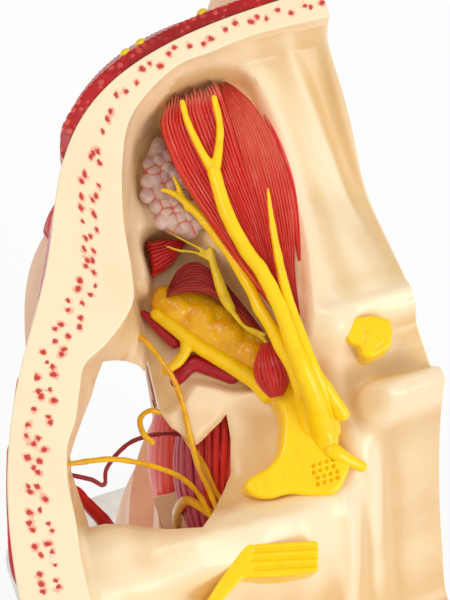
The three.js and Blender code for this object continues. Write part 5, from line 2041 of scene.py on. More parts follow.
@dataclass
class OuterCoat:
    """Flat muscles and vessels that lie on the outside of the head."""

    bench: Bench
    low: float = 0.06
    thick: float = 2.3
    rise: float = 3.9
    red: FibreFinish = FibreFinish()

    def over_side(self, left: Sequence[Flat], right: Sequence[Flat]) -> Surface:
        """A surface on the side of the head between two lines of y and z."""
        return self.over(HEAD.on_side, left, right)

    def over_face(self, left: Sequence[Flat], right: Sequence[Flat]) -> Surface:
        """A surface on the face between two lines of x and z."""
        return self.over(HEAD.on_face, left, right)

    def over(self, reader: Callable, left: Sequence[Flat], right: Sequence[Flat]) -> Surface:
        """A surface on the head between two lines in a reader's coordinates.

        Args:
            reader: Reads points of the head.
            left: One line.
            right: The other line.

        Returns:
            The surface.
        """
        lines = [smooth_path(side) for side in (left, right)]

        def surface(a: Array, b: Array, lift: Array) -> Array:
            """Points at shares across and along."""
            ends = [resampled(line, np.clip(b, 0, 1)) for line in lines]
            spot = ends[0] * (1 - a[..., None]) + ends[1] * a[..., None]
            return reader(spot[..., 0], spot[..., 1], self.low + lift)

        return surface

    def show_sheet(self, surface: Surface, fibres: float, name: str, node: str, finish: FibreFinish | BeadFinish,
                   slot: str, size: tuple[int, int] = (70, 60), groove: float = 0.55) -> None:
        """Makes and dresses one flat muscle.

        Args:
            surface: What it lies on.
            fibres: Fibres across it.
            name: The piece's name.
            node: The CAD node.
            finish: Its finish.
            slot: The kind of finish, passed on to the bench.
            size: Faces across and along.
            groove: Depth between fibres.
        """
        sheet = FibreSheet(surface, fibres, self.thick, groove, size[0], size[1], edge=0.06, seed=len(name))
        self.bench.show(sheet.form(), name, slot, finish, node)

    def build(self) -> None:
        """Makes and dresses the outside."""
        side, face = self.over_side, self.over_face
        forehead = face([(6, 11.9), (7, 2), (12, -3.4)], [(49.4, 11.9), (48.4, 4), (42, -2.4)])
        self.show_sheet(forehead, 40, "frontalis_form", "frontalis_muscle", BeadFinish(), "muscle", (200, 40), 0.3)
        golden = CordFinish((240, 204, 40), (196, 150, 20), 0.8)
        for number, x in enumerate((19.6, 30.6, 33.4), 1):
            form = lump(tuple(HEAD.on_face(x, 10.6, 2.3)), (1.0, 0.8, 0.9), 0.4, 4)
            self.bench.show(form, f"forehead_fat_form_{number}", "muscle", golden, "frontalis_muscle")
        top_edge = [(-46, 1), (-38, 3), (-24, 2), (-8, 1), (8, -2), (20, -6)]
        bottom_edge = [(-46, -2), (-44, -9), (-34, -18), (-16, -22), (4, -20), (14, -14), (20, -7)]
        strip = side(top_edge, bottom_edge)
        self.show_sheet(lambda a, b, lift: strip(b, a, lift * 0.36), 34, "temporalis_form", "temporalis_muscle",
                        FibreFinish((150, 10, 28), (200, 38, 50)), "muscle", (150, 40))
        cheek = face([(47, -47), (38, -56), (28, -64)], [(51, -50), (42, -60), (31, -68)])
        self.show_sheet(cheek, 5, "zygomaticus_form", "zygomaticus_muscle", self.red, "muscle", (40, 50))
        inner = side([(-57, -60), (-56, -70), (-55, -80)], [(-43, -58), (-42, -68), (-42, -78)])
        pink = FibreFinish((196, 70, 62), (228, 112, 98), (244, 180, 160))
        self.show_sheet(inner, 7, "buccinator_form", "buccinator_muscle", pink, "pink_muscle", (50, 36))
        strap = side([(22, -60), (16, -95), (6, -130), (-6, -166)], [(38, -62), (34, -100), (24, -135), (16, -166)])
        self.show_sheet(strap, 11, "sternomastoid_form", "sternocleidomastoid", self.red, "muscle", (80, 110))
        self.eye_ring()
        self.mouth_ring()
        self.vessels()

    def ring(self, inner: Callable, outer: Callable, fibres: float, turns: tuple[float, float], count: int) -> Solid:
        """A ring of fibres on the face between two closed lines given by angle.

        Args:
            inner: The inner line.
            outer: The outer line.
            fibres: Fibres across it.
            turns: Where it starts and ends.
            count: Faces along it.

        Returns:
            The solid.
        """

        def surface(a: Array, b: Array, lift: Array) -> Array:
            """Points at shares across and round."""
            angle = turns[0] + (turns[1] - turns[0]) * b
            near, far = inner(angle), outer(angle)
            spot = near * (1 - a[..., None]) + far * a[..., None]
            return HEAD.on_face(np.maximum(spot[..., 0], 0.02), spot[..., 1], self.low + lift)

        sheet = FibreSheet(surface, fibres, self.thick, 0.5, 40, count, edge=0.1, seed=3)
        return Solid.of(sheet.form())

    def eye_ring(self) -> None:
        """The ring muscle about the eye, which is also its lids."""
        def ellipse(across: float, up: float) -> Callable:
            """An ellipse about the eye by angle."""
            return lambda t: np.stack([EYE.x + across * np.cos(t), EYE.z + up * np.sin(t)], axis=-1)

        ring = self.ring(ellipse(12, 5), ellipse(19, 14.6), 8, (0.0, 2 * math.pi), 180)
        self.bench.show(ring, "eye_ring_form", "muscle", self.red, "orbicularis_oculi")

    def mouth_ring(self) -> None:
        """The ring muscle about the mouth, in half."""
        def lips(across: float, up: float, down: float) -> Callable:
            """A half ring about the mouth's slit by angle, from the top round to the bottom."""
            return lambda t: np.stack([
                across * np.sin(t), -68.3 + np.where(np.cos(t) > 0, up, down) * np.cos(t)], axis=-1)

        ring = self.ring(lips(19.5, 0.8, 0.8), lips(25.4, 8.8, 12.4), 8, (0.0, math.pi), 120)
        lip = FibreFinish((170, 40, 34), (214, 84, 70), (240, 160, 138))
        self.bench.show(ring, "mouth_ring_form", "muscle", lip, "orbicularis_oris")

    def vessels(self) -> None:
        """The arteries over the head and up the neck."""
        side, face = HEAD.on_side, HEAD.on_face
        paint = ARTERY.material("artery_paint")
        stem = [side(14, -18, 1.1), *(side(y, z, self.rise) for y, z in ((9, -13), (1, -9), (-5, -6), (-10, -3.4)))]
        twig = [side(y, z, self.rise) for y, z in ((1.6, -9.2), (-8, -8), (-15, -5.6), (-19.6, -3.4))]
        temple = together(tube(stem, 1.3), tube(twig, 1.105)).remeshed(0.3, 3)
        self.bench.show(temple, "temple_artery_form", "artery", paint, "superficial_temporal_artery")
        trunk = [(33, -4, -167), (36, 0, -140), (39, 8, -112), (41, 15, -92), (45, 16, -70), (50, 16, -50),
                 (57, 15, -34), (64, 14.6, -24)]
        self.bench.show(tube(trunk, 2.6, 24, 0.8), "carotid_form", "artery", paint, "carotid_trunk")
        cheek = [face(x, z, lift) for x, z, lift in (
            (22, -111, -1.4), (27, -103, 0.6), (30.4, -95, 1.1), (31, -86, 1.1), (28.6, -76, 1.1))]
        self.bench.show(tube(cheek, 1.3), "facial_artery_form", "artery", paint)
        back = [side(y, z, 1) for y, z in ((52, -60), (62, -44), (74, -30), (84, -14), (90, 2))]
        self.bench.show(tube(back, 1.3), "occipital_artery_form", "artery", paint)


@dataclass
class Orbit:
    """What lies in the opened eye socket: fan of muscles, gland, fat and the short muscles below."""

    bench: Bench
    gland_outline: tuple[Flat, ...] = (
        (30.9, -52.8), (33.7, -50), (35.6, -46), (36, -41), (34.8, -37.4), (32, -34.8), (30.0, -34.4),
        (28.8, -38.5), (29.8, -46),
    )
    fat_outline: tuple[Flat, ...] = (
        (40.1, -25.9), (38, -29.4), (34.4, -28.6), (30.4, -25.4), (26.6, -20.6), (23, -15), (23.2, -11.6),
        (26.4, -9.8), (30.4, -12.2), (34, -16.2), (37.2, -20.6),
    )

    def build(self) -> None:
        """Makes and dresses the socket's pieces."""
        self.fan()
        self.gland()
        self.fat()
        self.lower_muscles()

    def fan(self) -> None:
        """The lid's lifting muscle on the left, the upper straight muscle and the slanting one."""
        left = [(29.4, -55.4, 2.6), (31.0, -52.6, 2.6), (31.2, -47.9, 2.6), (30.6, -42.7, 2.6), (29.1, -36.3, 2.4),
                (26.8, -28, 2.2), (24.2, -20.8, 1.6), (21.6, -13.6, 0.6)]
        groove = [(19.6, -55.6, 2.6), (19.7, -50.5, 2.7), (20.0, -41.7, 2.7), (20.3, -33, 2.6), (21, -27, 2.4),
                  (21.2, -20.7, 1.8), (20.4, -13.4, 0.6)]
        red = FibreFinish((178, 12, 12), (238, 46, 36), (248, 176, 156), 3.4, 0.6, 0.24, pale_start=4.2)
        lifter = FibreSheet(between(left, groove), 19, 2.2, 0.4, 170, 130, (0.05, 0.0), 0.5, 0.05, 2)
        self.bench.show(lifter.form(), "levator_form", "muscle", red, "levator_muscle")
        deep = [(19.9, -55.4, 1.4), (20.2, -50.5, 1.5), (20.6, -41.7, 1.5), (21.2, -33, 1.4), (21.6, -27, 1.2),
                (22, -20.7, 0.8), (21.2, -12.4, 0)]
        right = [(17.2, -55.6, 1.2), (15, -52, 1.2), (13.6, -46.6, 1.2), (13.3, -39.8, 1.2), (14, -34, 1.0),
                 (15.5, -28.6, 0.8), (17.6, -22.4, 0.4), (19.4, -15, 0)]
        salmon = FibreFinish((188, 18, 14), (236, 62, 44), (248, 170, 148), 3.4, 0.55, 0.26,
                             (234, 98, 70), (16.4, -47.0, 0.0), 13.0, 2.6)
        upper = FibreSheet(between(deep, right), 14, 2.4, 0.36, 130, 120, (0.045, 0.0), 0.35, 0.08, 5)
        self.bench.show(upper.form(), "superior_rectus_form", "dark_muscle", salmon)
        line = [(13.5, -50, 1.7), (13.1, -42, 1.7), (13.9, -34, 1.6), (16.2, -24.4, 1.4)]
        slanting = Belly(line[0], line[-1], 0.8, 0.8, 5, 0.12)
        form = slanting.form()
        path = smooth_path(line)
        span = Vector(line[-1]) - Vector(line[0])
        for vert in form.verts:
            share = (vert.co - Vector(line[0])).dot(span) / span.length_squared
            straight = Vector(line[0]) + span * share
            curve = resampled(path, np.array([min(max(share, 0), 1)]))[0]
            vert.co += Vector(curve) - straight
        self.bench.show(form, "superior_oblique_form", "muscle", red)

    def gland(self) -> None:
        """The tear gland: lobes over a red ground."""
        outline = np.array(self.gland_outline)
        base = slab(rounded(self.gland_outline, 60), -5.6, -2.3, 1.2)
        grid = [(28 + 1.9 * i + 0.5 * math.sin(7.1 * i + 3.3 * j), -52.4 + 1.85 * j + 0.5 * math.sin(4.7 * j + 5.9 * i))
                for i in range(5) for j in range(11)]
        xs, ys = (np.array(line) for line in zip(*grid))
        held = [spot for spot, near in zip(grid, inside_distance(outline, xs, ys)) if near > -0.2]
        lobes = []
        for i, (x, y) in enumerate(held):
            size = 1.12 + 0.2 * ((i * 7) % 5) / 4
            lobes.append(lump((x, y, -2.5 + 0.2 * ((i * 3) % 4) / 3), (size, size * 1.1, 0.85), i * 0.8))
        whole = together(base, *lobes).remeshed(0.2, 2).roughened(0.08, 1.1)
        spots = vertices(whole)
        far = np.sort([np.hypot(spots[:, 0] - x, spots[:, 1] - y) for x, y in held], axis=0)
        groove = 1 - smooth_step(far[1] - far[0], 0.08, 0.42)
        broken = smooth_step(np.sin(spots[:, 0] * 1.3 + spots[:, 1] * 0.9) + np.sin(spots[:, 1] * 1.7), -0.7, 0.4)
        lower = smooth_step(spots[:, 1], -50.4, -48.6)
        finish = MarkedFinish((224, 196, 184), (212, 74, 38), (198, 162, 156), 0.3, 0.2, 0.5)
        marks = {"mark": groove * broken * lower * 0.85}
        self.bench.show(whole, "lacrimal_gland_form", "gland", finish, marks=marks)

    def fat(self) -> None:
        """The golden fat that fills the gap beside the upper jaw's nerve."""
        outline = rounded(self.fat_outline, 80)
        base = slab(outline, -12.6, -8.6, 2.2, 6)
        domes = [lump((x, y, -9.4), (s, s * 1.2, 1.9), t) for x, y, s, t in (
            (36.6, -25.4, 2.6, 0.5), (33.0, -22.4, 2.8, 0.6), (29.4, -18.2, 2.8, 0.7), (26.4, -13.6, 2.4, 0.8))]
        whole = together(base, *domes).remeshed(0.3, 6).roughened(0.12, 2.2, 4)
        # its second colour is the pale of painted glints
        finish = MarkedFinish((250, 194, 8), (255, 240, 190), (236, 164, 4), 0.2, 0.16, 0.35)
        spots = vertices(whole)
        # painted glints: pale specks in streaks over the glossy fat
        glint_specks = np.sin(spots[:, 0] * 5.3 + 2 * np.sin(spots[:, 1] * 1.9)) * np.sin(spots[:, 1] * 6.1 + spots[:, 0])
        marks = {"mark": 0.7 * smooth_step(glint_specks, 0.92, 0.99)}
        self.bench.show(whole, "orbital_fat_form", "fat", finish, marks=marks)

    def lower_muscles(self) -> None:
        """The lens-shaped muscle, the short muscle at its side and the cut end of the outer muscle."""
        maroon = FibreFinish((104, 6, 14), (176, 34, 36), (234, 150, 134), 3.2, 0.4)
        left = [(37.7, -26.7, -7.2), (35.3, -26.7, -7), (32.1, -25.6, -6.8), (29.3, -23.4, -6.8), (26.8, -19, -7.2),
                (24.4, -15.2, -7.6)]
        right = [(37.2, -28, -7.2), (34.4, -30.6, -7), (31.4, -31.1, -6.8), (28.9, -28.6, -6.8), (26.4, -23.4, -7.2),
                 (24, -15.8, -7.6)]
        lens = FibreSheet(between(left, right), 12, 1.0, 0.3, 100, 70, (0, 0), 0.9, 0.16, 4)
        self.bench.show(lens.form(), "inferior_rectus_form", "dark_muscle", maroon)
        red = FibreFinish((150, 4, 8), (220, 28, 26), (242, 150, 134), 3.2, 0.4, pale_start=1.2)
        left = [(31.5, -35.2, -9.8), (34.4, -36.8, -9.8), (37.4, -37.2, -9.8)]
        right = [(32.2, -34, -9.8), (34.9, -32, -9.8), (38.2, -31.2, -10)]
        side = FibreSheet(between(left, right), 9, 2.4, 0.45, 70, 46, (0.14, 0.06), 0.6, 0.16, 7)
        self.bench.show(side.form(), "orbit_side_muscle_form", "muscle", red)
        stump = Belly((25.1, -13.4, -3.4), (26.1, -5.0, -4.8), 3.0, 3.2, 26, 0.2, 0.4, 0.06)
        rings = FibreFinish((130, 4, 8), (214, 34, 32), (236, 124, 104), 2.6, 0.3)
        self.bench.show(stump.form(), "lateral_rectus_form", "muscle", rings)


@dataclass(frozen=True)
class Cord:
    """One nerve or vessel: its runs, each with a radius or several, its node and its paint."""

    node: str
    runs: tuple[tuple[tuple[Place, ...], float | tuple[float, ...]], ...]
    paint: CordFinish
    slot: str = "nerve"


CORDS: tuple[Cord, ...] = (
    Cord("frontal_nerve", (
        (((20.4, 6, -7.4), (20.6, 2.2, -4.4), (21.5, -3.1, 1.2), (22.2, -6.8, 3.6), (22.6, -10.7, 4.6),
          (22.9, -16.6, 5.8), (24, -24.2, 6.5), (24.9, -26.7, 6.6), (26.2, -34, 6.9), (25.9, -42.8, 6.9)),
         (2.2, 2.1, 1.8, 1.6, 1.4, 1.3, 1.25, 1.2, 1.2, 1.1)),
        (((25.9, -41.5, 6.7), (26.6, -45, 6.4), (27.2, -51.1, 6.3), (26.9, -55, 6.2)), (0.95, 0.7, 0.58, 0.5)),
        (((25.9, -41.5, 6.7), (23.8, -45.2, 6.4), (22.3, -49, 6.3), (21.6, -54.2, 6.2)), (0.95, 0.72, 0.62, 0.56)),
    ), NERVE),
    Cord("nasociliary_nerve", ((
        ((19.0, 4, -6.6), (19.1, 0.3, -2.8), (19.8, -3, 1), (20.4, -6.4, 3), (20.7, -10.3, 4), (21.1, -16.2, 5.2),
         (21, -19.6, 5.8), (20.6, -23.8, 6), (19.9, -28.8, 6.2), (18.9, -33.8, 6.2), (18.2, -36.7, 6.2)),
        (1.5, 1.4, 1.2, 1.1, 1.0, 0.95, 0.85, 0.75, 0.6, 0.42, 0.22)),), NERVE),
    Cord("oculomotor_nerve", ((
        ((20.6, -7.8, 2.2), (19.2, -3.6, 1.3), (18, -0.5, -0.6), (17, 2.3, -2.8)), (0.8, 1.0, 1.15, 1.4)),), NERVE),
    Cord("abducens_nerve", ((((21.2, 5.1, -5.2), (19.2, 7.3, -5.6), (16.6, 9.4, -7.2), (15.2, 10.4, -8.2)),
                             (1.5, 1.3, 1.0, 1.0)),), NERVE),
    Cord("lacrimal_nerve", (
        (((22.2, 3, -7), (22.3, -1.4, -4.2), (22.6, -4.6, -0.6), (23.2, -8.3, 1.4), (24.1, -11.7, 2.2),
          (24.6, -15.2, 2.4), (25.3, -18.2, 2.2), (25.6, -22.1, 1.8), (26.4, -26.8, 1.4), (28.1, -33.1, 0.9),
          (30.4, -38.9, 0.4), (32.6, -42, 0.4), (34.1, -42.9, 0.3)),
         (1.8, 1.7, 1.5, 1.3, 1.2, 1.1, 1.05, 1.0, 0.95, 0.85, 0.7, 0.48, 0.34)),
        (((30.7, -38, 0.4), (31, -41.4, 0.4), (31.2, -44.5, 0.4)), (0.6, 0.46, 0.3)),
    ), NERVE),
    Cord("ciliary_ganglion", (
        (((28.6, -32.2, -3.6), (28.9, -30, -3.8), (29, -26.6, -3.9), (29, -23.6, -4), (28.4, -20.4, -4.1)),
         (0.5, 0.6, 0.85, 0.95, 0.7)),
        (((28.6, -20.6, -4.1), (27.6, -18, -4.3), (25.8, -16.4, -4.4), (24.4, -15.2, -4.2)), (0.4, 0.3, 0.3, 0.3)),
        (((28.4, -20.4, -4.1), (27.2, -17.4, -4.6), (25.4, -15.4, -4.8), (24.6, -13.8, -4.6)), (0.4, 0.34, 0.3, 0.3)),
        (((28.8, -29.6, -3.8), (31.4, -32, -3.7), (33.7, -33, -3.6), (35.6, -34.4, -3.6)), (0.4, 0.28, 0.22, 0.16)),
        (((28.8, -30.6, -3.8), (31, -33, -3.6), (33, -35, -3.5), (34.4, -36.6, -3.5)), (0.4, 0.28, 0.22, 0.16)),
    ), NERVE_PALE),
    Cord("maxillary_nerve", (
        (((40.4, -25.9, -9.4), (38.2, -22.6, -9.2), (34.6, -17.4, -9.2), (31.3, -13.6, -9.2), (27.6, -8.6, -9),
          (26.2, -5, -9)), (0.95, 1.15, 1.3, 1.35, 1.4, 1.5)),
        (((36.2, -20, -9.2), (37.2, -17.6, -9.6), (39.2, -16.2, -9.8), (42.2, -15.2, -9.8)), (1.1, 0.95, 0.9, 0.62)),
    ), NERVE),
    Cord("deep_temporal_nerve_front", ((
        ((46, -24.4, -6.4), (43.6, -20.6, -6), (42, -16.9, -7), (40.9, -14.2, -8.4), (40.4, -10, -10),
         (40.7, -4, -12), (40.6, 1, -14.6), (39.8, 4.6, -17), (39.1, 11, -19.4)), 0.5),), NERVE_GOLD),
    Cord("deep_temporal_nerve_back", ((
        ((64.6, -4.4, 1), (61.4, -3.9, 0.6), (55.7, -3.3, -3), (48.8, -1, -9), (43.9, 1.9, -14), (41.4, 5.4, -17.6),
         (40.6, 9, -19.4)), 0.48),), NERVE_GOLD),
    Cord("buccal_nerve", ((
        ((47.0, -4.4, -10.4), (48.2, -6.6, -10.2), (47.9, -9.2, -11), (45.4, -10.3, -12.6), (42.4, -8, -14),
         (40.6, -3.4, -15.2), (39.2, 0.6, -17), (38.6, 4.6, -18.6), (37.4, 9.2, -19.4)), 0.5),), NERVE_GOLD),
    Cord("alveolar_nerve", ((
        ((37.6, 11.4, -22.4), (40.4, 8, -20.6), (43, 5, -20.6), (44.2, 5, -25), (43.8, 6, -35), (42.4, 7.4, -47),
         (41.4, 9, -52)), (0.7, 0.75, 0.8, 0.85, 0.85, 0.8, 0.7)),), NERVE_GOLD),
    Cord("maxillary_artery", ((
        ((41.4, -12, -14.4), (39, -14.4, -12.8), (36, -15.6, -12.1), (33, -13.6, -12.2), (29.6, -10.8, -12.5)),
        (0.9, 1.3, 1.5, 1.5, 1.4)),), ARTERY_DARK, "artery"),
    Cord("zygomatic_artery", ((
        ((41.8, -26.6, -10.8), (39.6, -22.4, -11), (37.6, -18.8, -11.2)), (0.5, 1.0, 1.1)),), ARTERY_DARK, "artery"),
    Cord("deep_temporal_artery", ((
        ((39.6, -5.8, -21), (43.6, -6.8, -18.6), (48.5, -6.7, -14.4), (51.4, -5.9, -12), (54.2, -4.3, -10),
         (56.2, -2.6, -9.4), (57.2, -0.4, -9.2), (59, -1.8, -8.6), (61, -3, -8.4), (63, -4.2, -9)), 0.42),),
         ARTERY_DUSK, "artery"),
    Cord("middle_temporal_artery", ((
        ((64.4, -1.2, -10.6), (61.9, -1.4, -10.8), (60.4, 0.7, -14), (58, 4.6, -18), (56.4, 8, -21.6)),
        (0.6, 0.7, 1.0, 1.25, 1.3)),), ARTERY, "artery"),
)


@dataclass
class Wiring:
    """The nerves and vessels seen through the sawn head, with their ganglia."""

    bench: Bench
    ganglion: tuple[Flat, ...] = (
        (26.5, -6.8), (26.1, -2.7), (27, 0.8), (28.5, 3.5), (30.9, 5.3), (33.6, 6), (35.6, 6.8), (35.8, 8.1),
        (34.5, 9.6), (32.4, 10.6), (29.3, 10.7), (25.9, 12.1), (22.2, 13), (20, 11.8), (18.4, 9.9), (17.4, 8.2),
        (19, 6.2), (17.9, 3.4), (17.9, -0.1), (18.8, -3), (20.4, -6.6),
    )
    facial: tuple[Flat, ...] = (
        (28.0, 20.3), (29.6, 24.4), (34.2, 23.7), (38.6, 22.5), (41.5, 21.6), (44.2, 23.0), (47.6, 25.4), (49.2, 24.0),
        (46.4, 21.7), (43.3, 19.3), (41.5, 17.2), (41.0, 14.8), (38.5, 15.3), (38.3, 16.9), (28.1, 19.6),
    )
    facial_grooves: tuple[tuple[Flat, Flat], ...] = (
        ((38.9, 17.9), (27.6, 20.9)), ((39.4, 19.2), (28, 22.3)), ((39.6, 20.7), (28.4, 23.6)))
    stump: tuple[Flat, ...] = (
        (13.1, -11.1), (11.7, -12.4), (9.7, -12.3), (7.1, -11.5), (5.5, -10.3), (5.9, -8), (7, -6), (9, -5.4),
        (10.8, -5.3), (11.9, -6.2), (12, -7.6), (13.4, -9.1),
    )

    def build(self) -> None:
        """Makes and dresses them all."""
        for cord in CORDS:
            forms = [tube(points, radii, 20, 0.35) for points, radii in cord.runs]
            solid = together(*forms).remeshed(0.22, 2).roughened(0.1, 2.2)
            self.bench.show(solid, cord.node + "_form", cord.slot, cord.paint)
        self.trigeminal()
        self.face_nerve()
        self.optic()

    def trigeminal(self) -> None:
        """The flat ganglion, with a pitted patch at one corner."""
        outline = np.array(rounded(self.ganglion, 110))
        plate = slab(outline, -12.4, -5.2, 0.9, 5)
        spots = [(20.6 + 1.15 * column + 0.3 * (row % 2), 7.6 + 1.05 * row, -5.1)
                 for row in range(4) for column in range(4)]
        pits = [Solid.of(lump(spot, (0.42, 0.42, 0.8))) for spot in spots]
        whole = Solid.of(plate).cut(*pits).remeshed(0.18, 1).roughened(0.12, 3)
        self.bench.show(whole, "trigeminal_ganglion_form", "nerve", NERVE)

    def face_nerve(self) -> None:
        """The bundle at the inner ear's canal, with the grooves between its strands."""
        outline = resampled(np.array([*self.facial, self.facial[0]]), np.linspace(0, 1, 111)[:-1])
        grooves = [Solid.of(tube([(*start, -2.75), (*end, -2.75)], 0.34, 12, 0.5))
                   for start, end in self.facial_grooves]
        whole = Solid.of(slab(outline, -11.8, -2.6, 0.5, 4)).cut(*grooves).remeshed(0.2, 1).roughened(0.08, 2)
        self.bench.show(whole, "facial_nerve_form", "nerve", NERVE)

    def optic(self) -> None:
        """The cut end of the optic nerve, with a shallow swirl carved into it."""
        outline = np.array(rounded(self.stump, 72))
        middle = outline.mean(axis=0)
        rings = []
        for size, height in ((0.94, -6.4), (1.0, -4), (1.0, 2.1), (0.97, 2.6), (0.9, 2.9), (0.8, 3.02), (0.5, 3.08),
                             (0.2, 3.1)):
            rings.append(np.column_stack([middle + (outline - middle) * size, np.full(len(outline), height)]))
        stump = loft(rings)
        swirl = [(9.4 + 0.32 * t * math.cos(1.1 * t), -8.7 + 0.3 * t * math.sin(1.1 * t), 3.1) for t in range(1, 9)]
        stump = stump.cut(Solid.of(tube(swirl, 0.22, 10, 0.3))).remeshed(0.18, 2).roughened(0.12, 1.8)
        self.bench.show(stump, "optic_nerve_form", "nerve", NERVE)


@dataclass
class Fossa:
    """The chewing muscles seen down through the window."""

    bench: Bench
    dark: FibreFinish = FibreFinish((136, 6, 12), (224, 40, 32), (240, 128, 110), 3.0, 0.4)
    purple: FibreFinish = FibreFinish((152, 32, 58), (214, 86, 106), (240, 166, 166), 2.6, 0.4)
    pink: FibreFinish = FibreFinish((240, 48, 42), (252, 88, 74), (252, 170, 152), 2.2, 0.3)

    def build(self) -> None:
        """Makes and dresses the three muscles."""
        upper = Belly((31.4, -14.4, -17.6), (38.4, 8.4, -23.2), 4.5, 4.2, 18, 0.5, 0.2, 0.05, seed=2)
        self.bench.show(upper.form(), "pterygoid_upper_form", "dark_muscle", self.dark)
        lower = Belly((35.2, -11.4, -27.4), (40.8, 12.2, -30.4), 5, 5, 20, 0.35, 0.5, 0.04, seed=5)
        self.bench.show(lower.form(), "pterygoid_lower_form", "pink_muscle", self.purple)
        deep = Belly((37.4, -15, -33), (36.4, 4, -78), 6.0, 5.4, 26, 0.14, 0.5, 0.02, seed=8)
        self.bench.show(deep.form(), "medial_pterygoid_form", "pink_muscle", self.pink)


@dataclass
class Stand:
    """The rod, bush, flange, screws, board and pad that carry the head."""

    bench: Bench
    rod_radius: float = 4.0
    rod_tip: float = -118.0
    bush_radius: float = 7.1
    bush_height: float = 38.0
    flange_radius: float = 21.0
    bolts: float = 14.5
    hole: float = 2.0
    collar_top: float = NECK_END - SEAT_GAP
    flange_top: float = -202.5
    flange_low: float = -206.5
    board_low: float = -220.5
    pad_low: float = -HEAD_RISE
    board_size: Flat = (78.0, 108.0)
    steel: PlainFinish = PlainFinish((196, 198, 202), (150, 152, 158), 0.26, 1.0, (0.4, 0.4, 6.0), 1.0)
    paint: PlainFinish = PlainFinish((240, 238, 232), (228, 225, 216), 0.34, 0.0, (1, 1, 1), 0.25, 0.06)
    rubber: PlainFinish = PlainFinish((92, 94, 98), (70, 72, 76), 0.7, 0.0, (1, 1, 1), 1.6, 0.12)

    def build(self) -> None:
        """Makes and dresses the stand."""
        steel = self.steel.material("brushed_steel")
        r, tip, top = self.rod_radius, self.rod_tip, self.collar_top
        foot = self.flange_low + SEAT_GAP
        rod = [(0, foot), (r - 0.3, foot), (r, foot + 0.3), (r, top - 3), (7.7, top - 3), (8, top - 2.7),
               (8, top - 0.3), (7.7, top), (r, top), (r, tip - 1), (r - 0.2, tip - 0.5), (r - 1, tip), (0, tip)]
        self.bench.show(turned(rod), "support_rod_form", "steel", steel, body=STAND_BODY)
        inside, low, high = r + 0.1, NECK_END, NECK_END + self.bush_height
        wall = self.bush_radius
        bush = [(inside, low + 0.3), (inside + 0.3, low), (wall - 0.3, low), (wall, low + 0.3), (wall, high - 0.3),
                (wall - 0.3, high), (inside + 0.3, high), (inside, high - 0.3), (inside, low + 0.3)]
        self.bench.show(turned(bush), "neck_bush_form", "steel", steel)
        self.flange(steel)
        self.board()

    def flange(self, steel: bpy.types.Material) -> None:
        """The flange with its boss and three cross-head screws.

        Args:
            steel: Their material.
        """
        top, low, wide = self.flange_top, self.flange_low, self.flange_radius
        inner = self.rod_radius + SEAT_GAP
        profile = [(inner, low), (wide, low), (wide, top - 1), (wide - 0.3, top - 0.3), (wide - 1, top), (9, top),
                   (8.3, top + 0.3), (8, top + 1), (7.2, top + 6.4), (6.8, top + 6.9), (6.2, top + 7), (inner, top + 7),
                   (inner, low)]
        holes = [self.bore(low - 1, top + 2, at, 32) for at in self.screw_places()]
        plate = Solid.of(turned(profile, 96)).cut(*holes)
        self.bench.show(plate, "rod_flange_form", "steel", steel, body=STAND_BODY)
        head = top + SEAT_GAP
        screw = [(0, head - 10), (1.2, head - 10), (1.7, head - 9.4), (1.7, head), (3.2, head), (3.4, head + 0.3),
                 (3.3, head + 1), (2.7, head + 1.6), (1.6, head + 1.95), (0, head + 2)]
        for number, at in enumerate(self.screw_places(), 1):
            slots = []
            for turn in (0.4, 0.4 + math.pi / 2):
                way = np.array((math.cos(turn), math.sin(turn)))
                side = np.array((-way[1], way[0]))
                corners = [at + way * u + side * v
                           for u, v in ((-1.9, -0.32), (1.9, -0.32), (1.9, 0.32), (-1.9, 0.32))]
                slots.append(Solid.of(slab(np.array(corners), head + 1.0, head + 3)))
            whole = Solid.of(turned(screw, 40, at)).cut(*slots)
            self.bench.show(whole, f"flange_screw_{number}_form", "steel", steel, body=STAND_BODY)

    def screw_places(self) -> list[Flat]:
        """Where the flange's screws stand."""
        x, y = STAND_CENTRE
        turns = [math.pi / 2 + 2 * math.pi * number / 3 for number in range(3)]
        return [(x + self.bolts * math.cos(turn), y + self.bolts * math.sin(turn)) for turn in turns]

    def bore(self, low: float, high: float, at: Flat, steps: int) -> Solid:
        """The form that bores a screw's hole."""
        return Solid.of(turned([(0, low), (self.hole, low), (self.hole, high), (0, high)], steps, at))

    def plate(self, width: float, length: float, corner: float, low: float, high: float, edge: float) -> Solid:
        """A board with round corners and a rounded top edge.

        Args:
            width: Its size in x.
            length: Its size in y.
            corner: Radius of its corners.
            low: Its underside.
            high: Its top.
            edge: Radius of its top edge.

        Returns:
            The solid.
        """
        centre = np.array(STAND_CENTRE)
        outline = []
        for sx, sy, start in ((1, -1, -90), (1, 1, 0), (-1, 1, 90), (-1, -1, 180)):
            middle = np.array([sx * (width / 2 - corner), sy * (length / 2 - corner)])
            for turn in np.radians(np.linspace(start, start + 90, 13)):
                outline.append(centre + middle + corner * np.array([math.cos(turn), math.sin(turn)]))
        return Solid.of(slab(np.array(outline), low, high, edge, 5))

    def board(self) -> None:
        """The painted board with holes for the screws, and the pad under it."""
        width, length = self.board_size
        board = self.plate(width, length, 9, self.board_low, self.flange_low, 1.6)
        tip = self.flange_top - 10
        holes = [self.bore(tip, self.flange_low + 1, at, 24) for at in self.screw_places()]
        self.bench.show(board.cut(*holes), "base_board_form", "board", self.paint, body=STAND_BODY)
        pad = self.plate(width - 8, length - 8, 5, self.pad_low, self.board_low, 0)
        self.bench.show(pad, "base_pad_form", "pad", self.rubber, body=STAND_BODY)


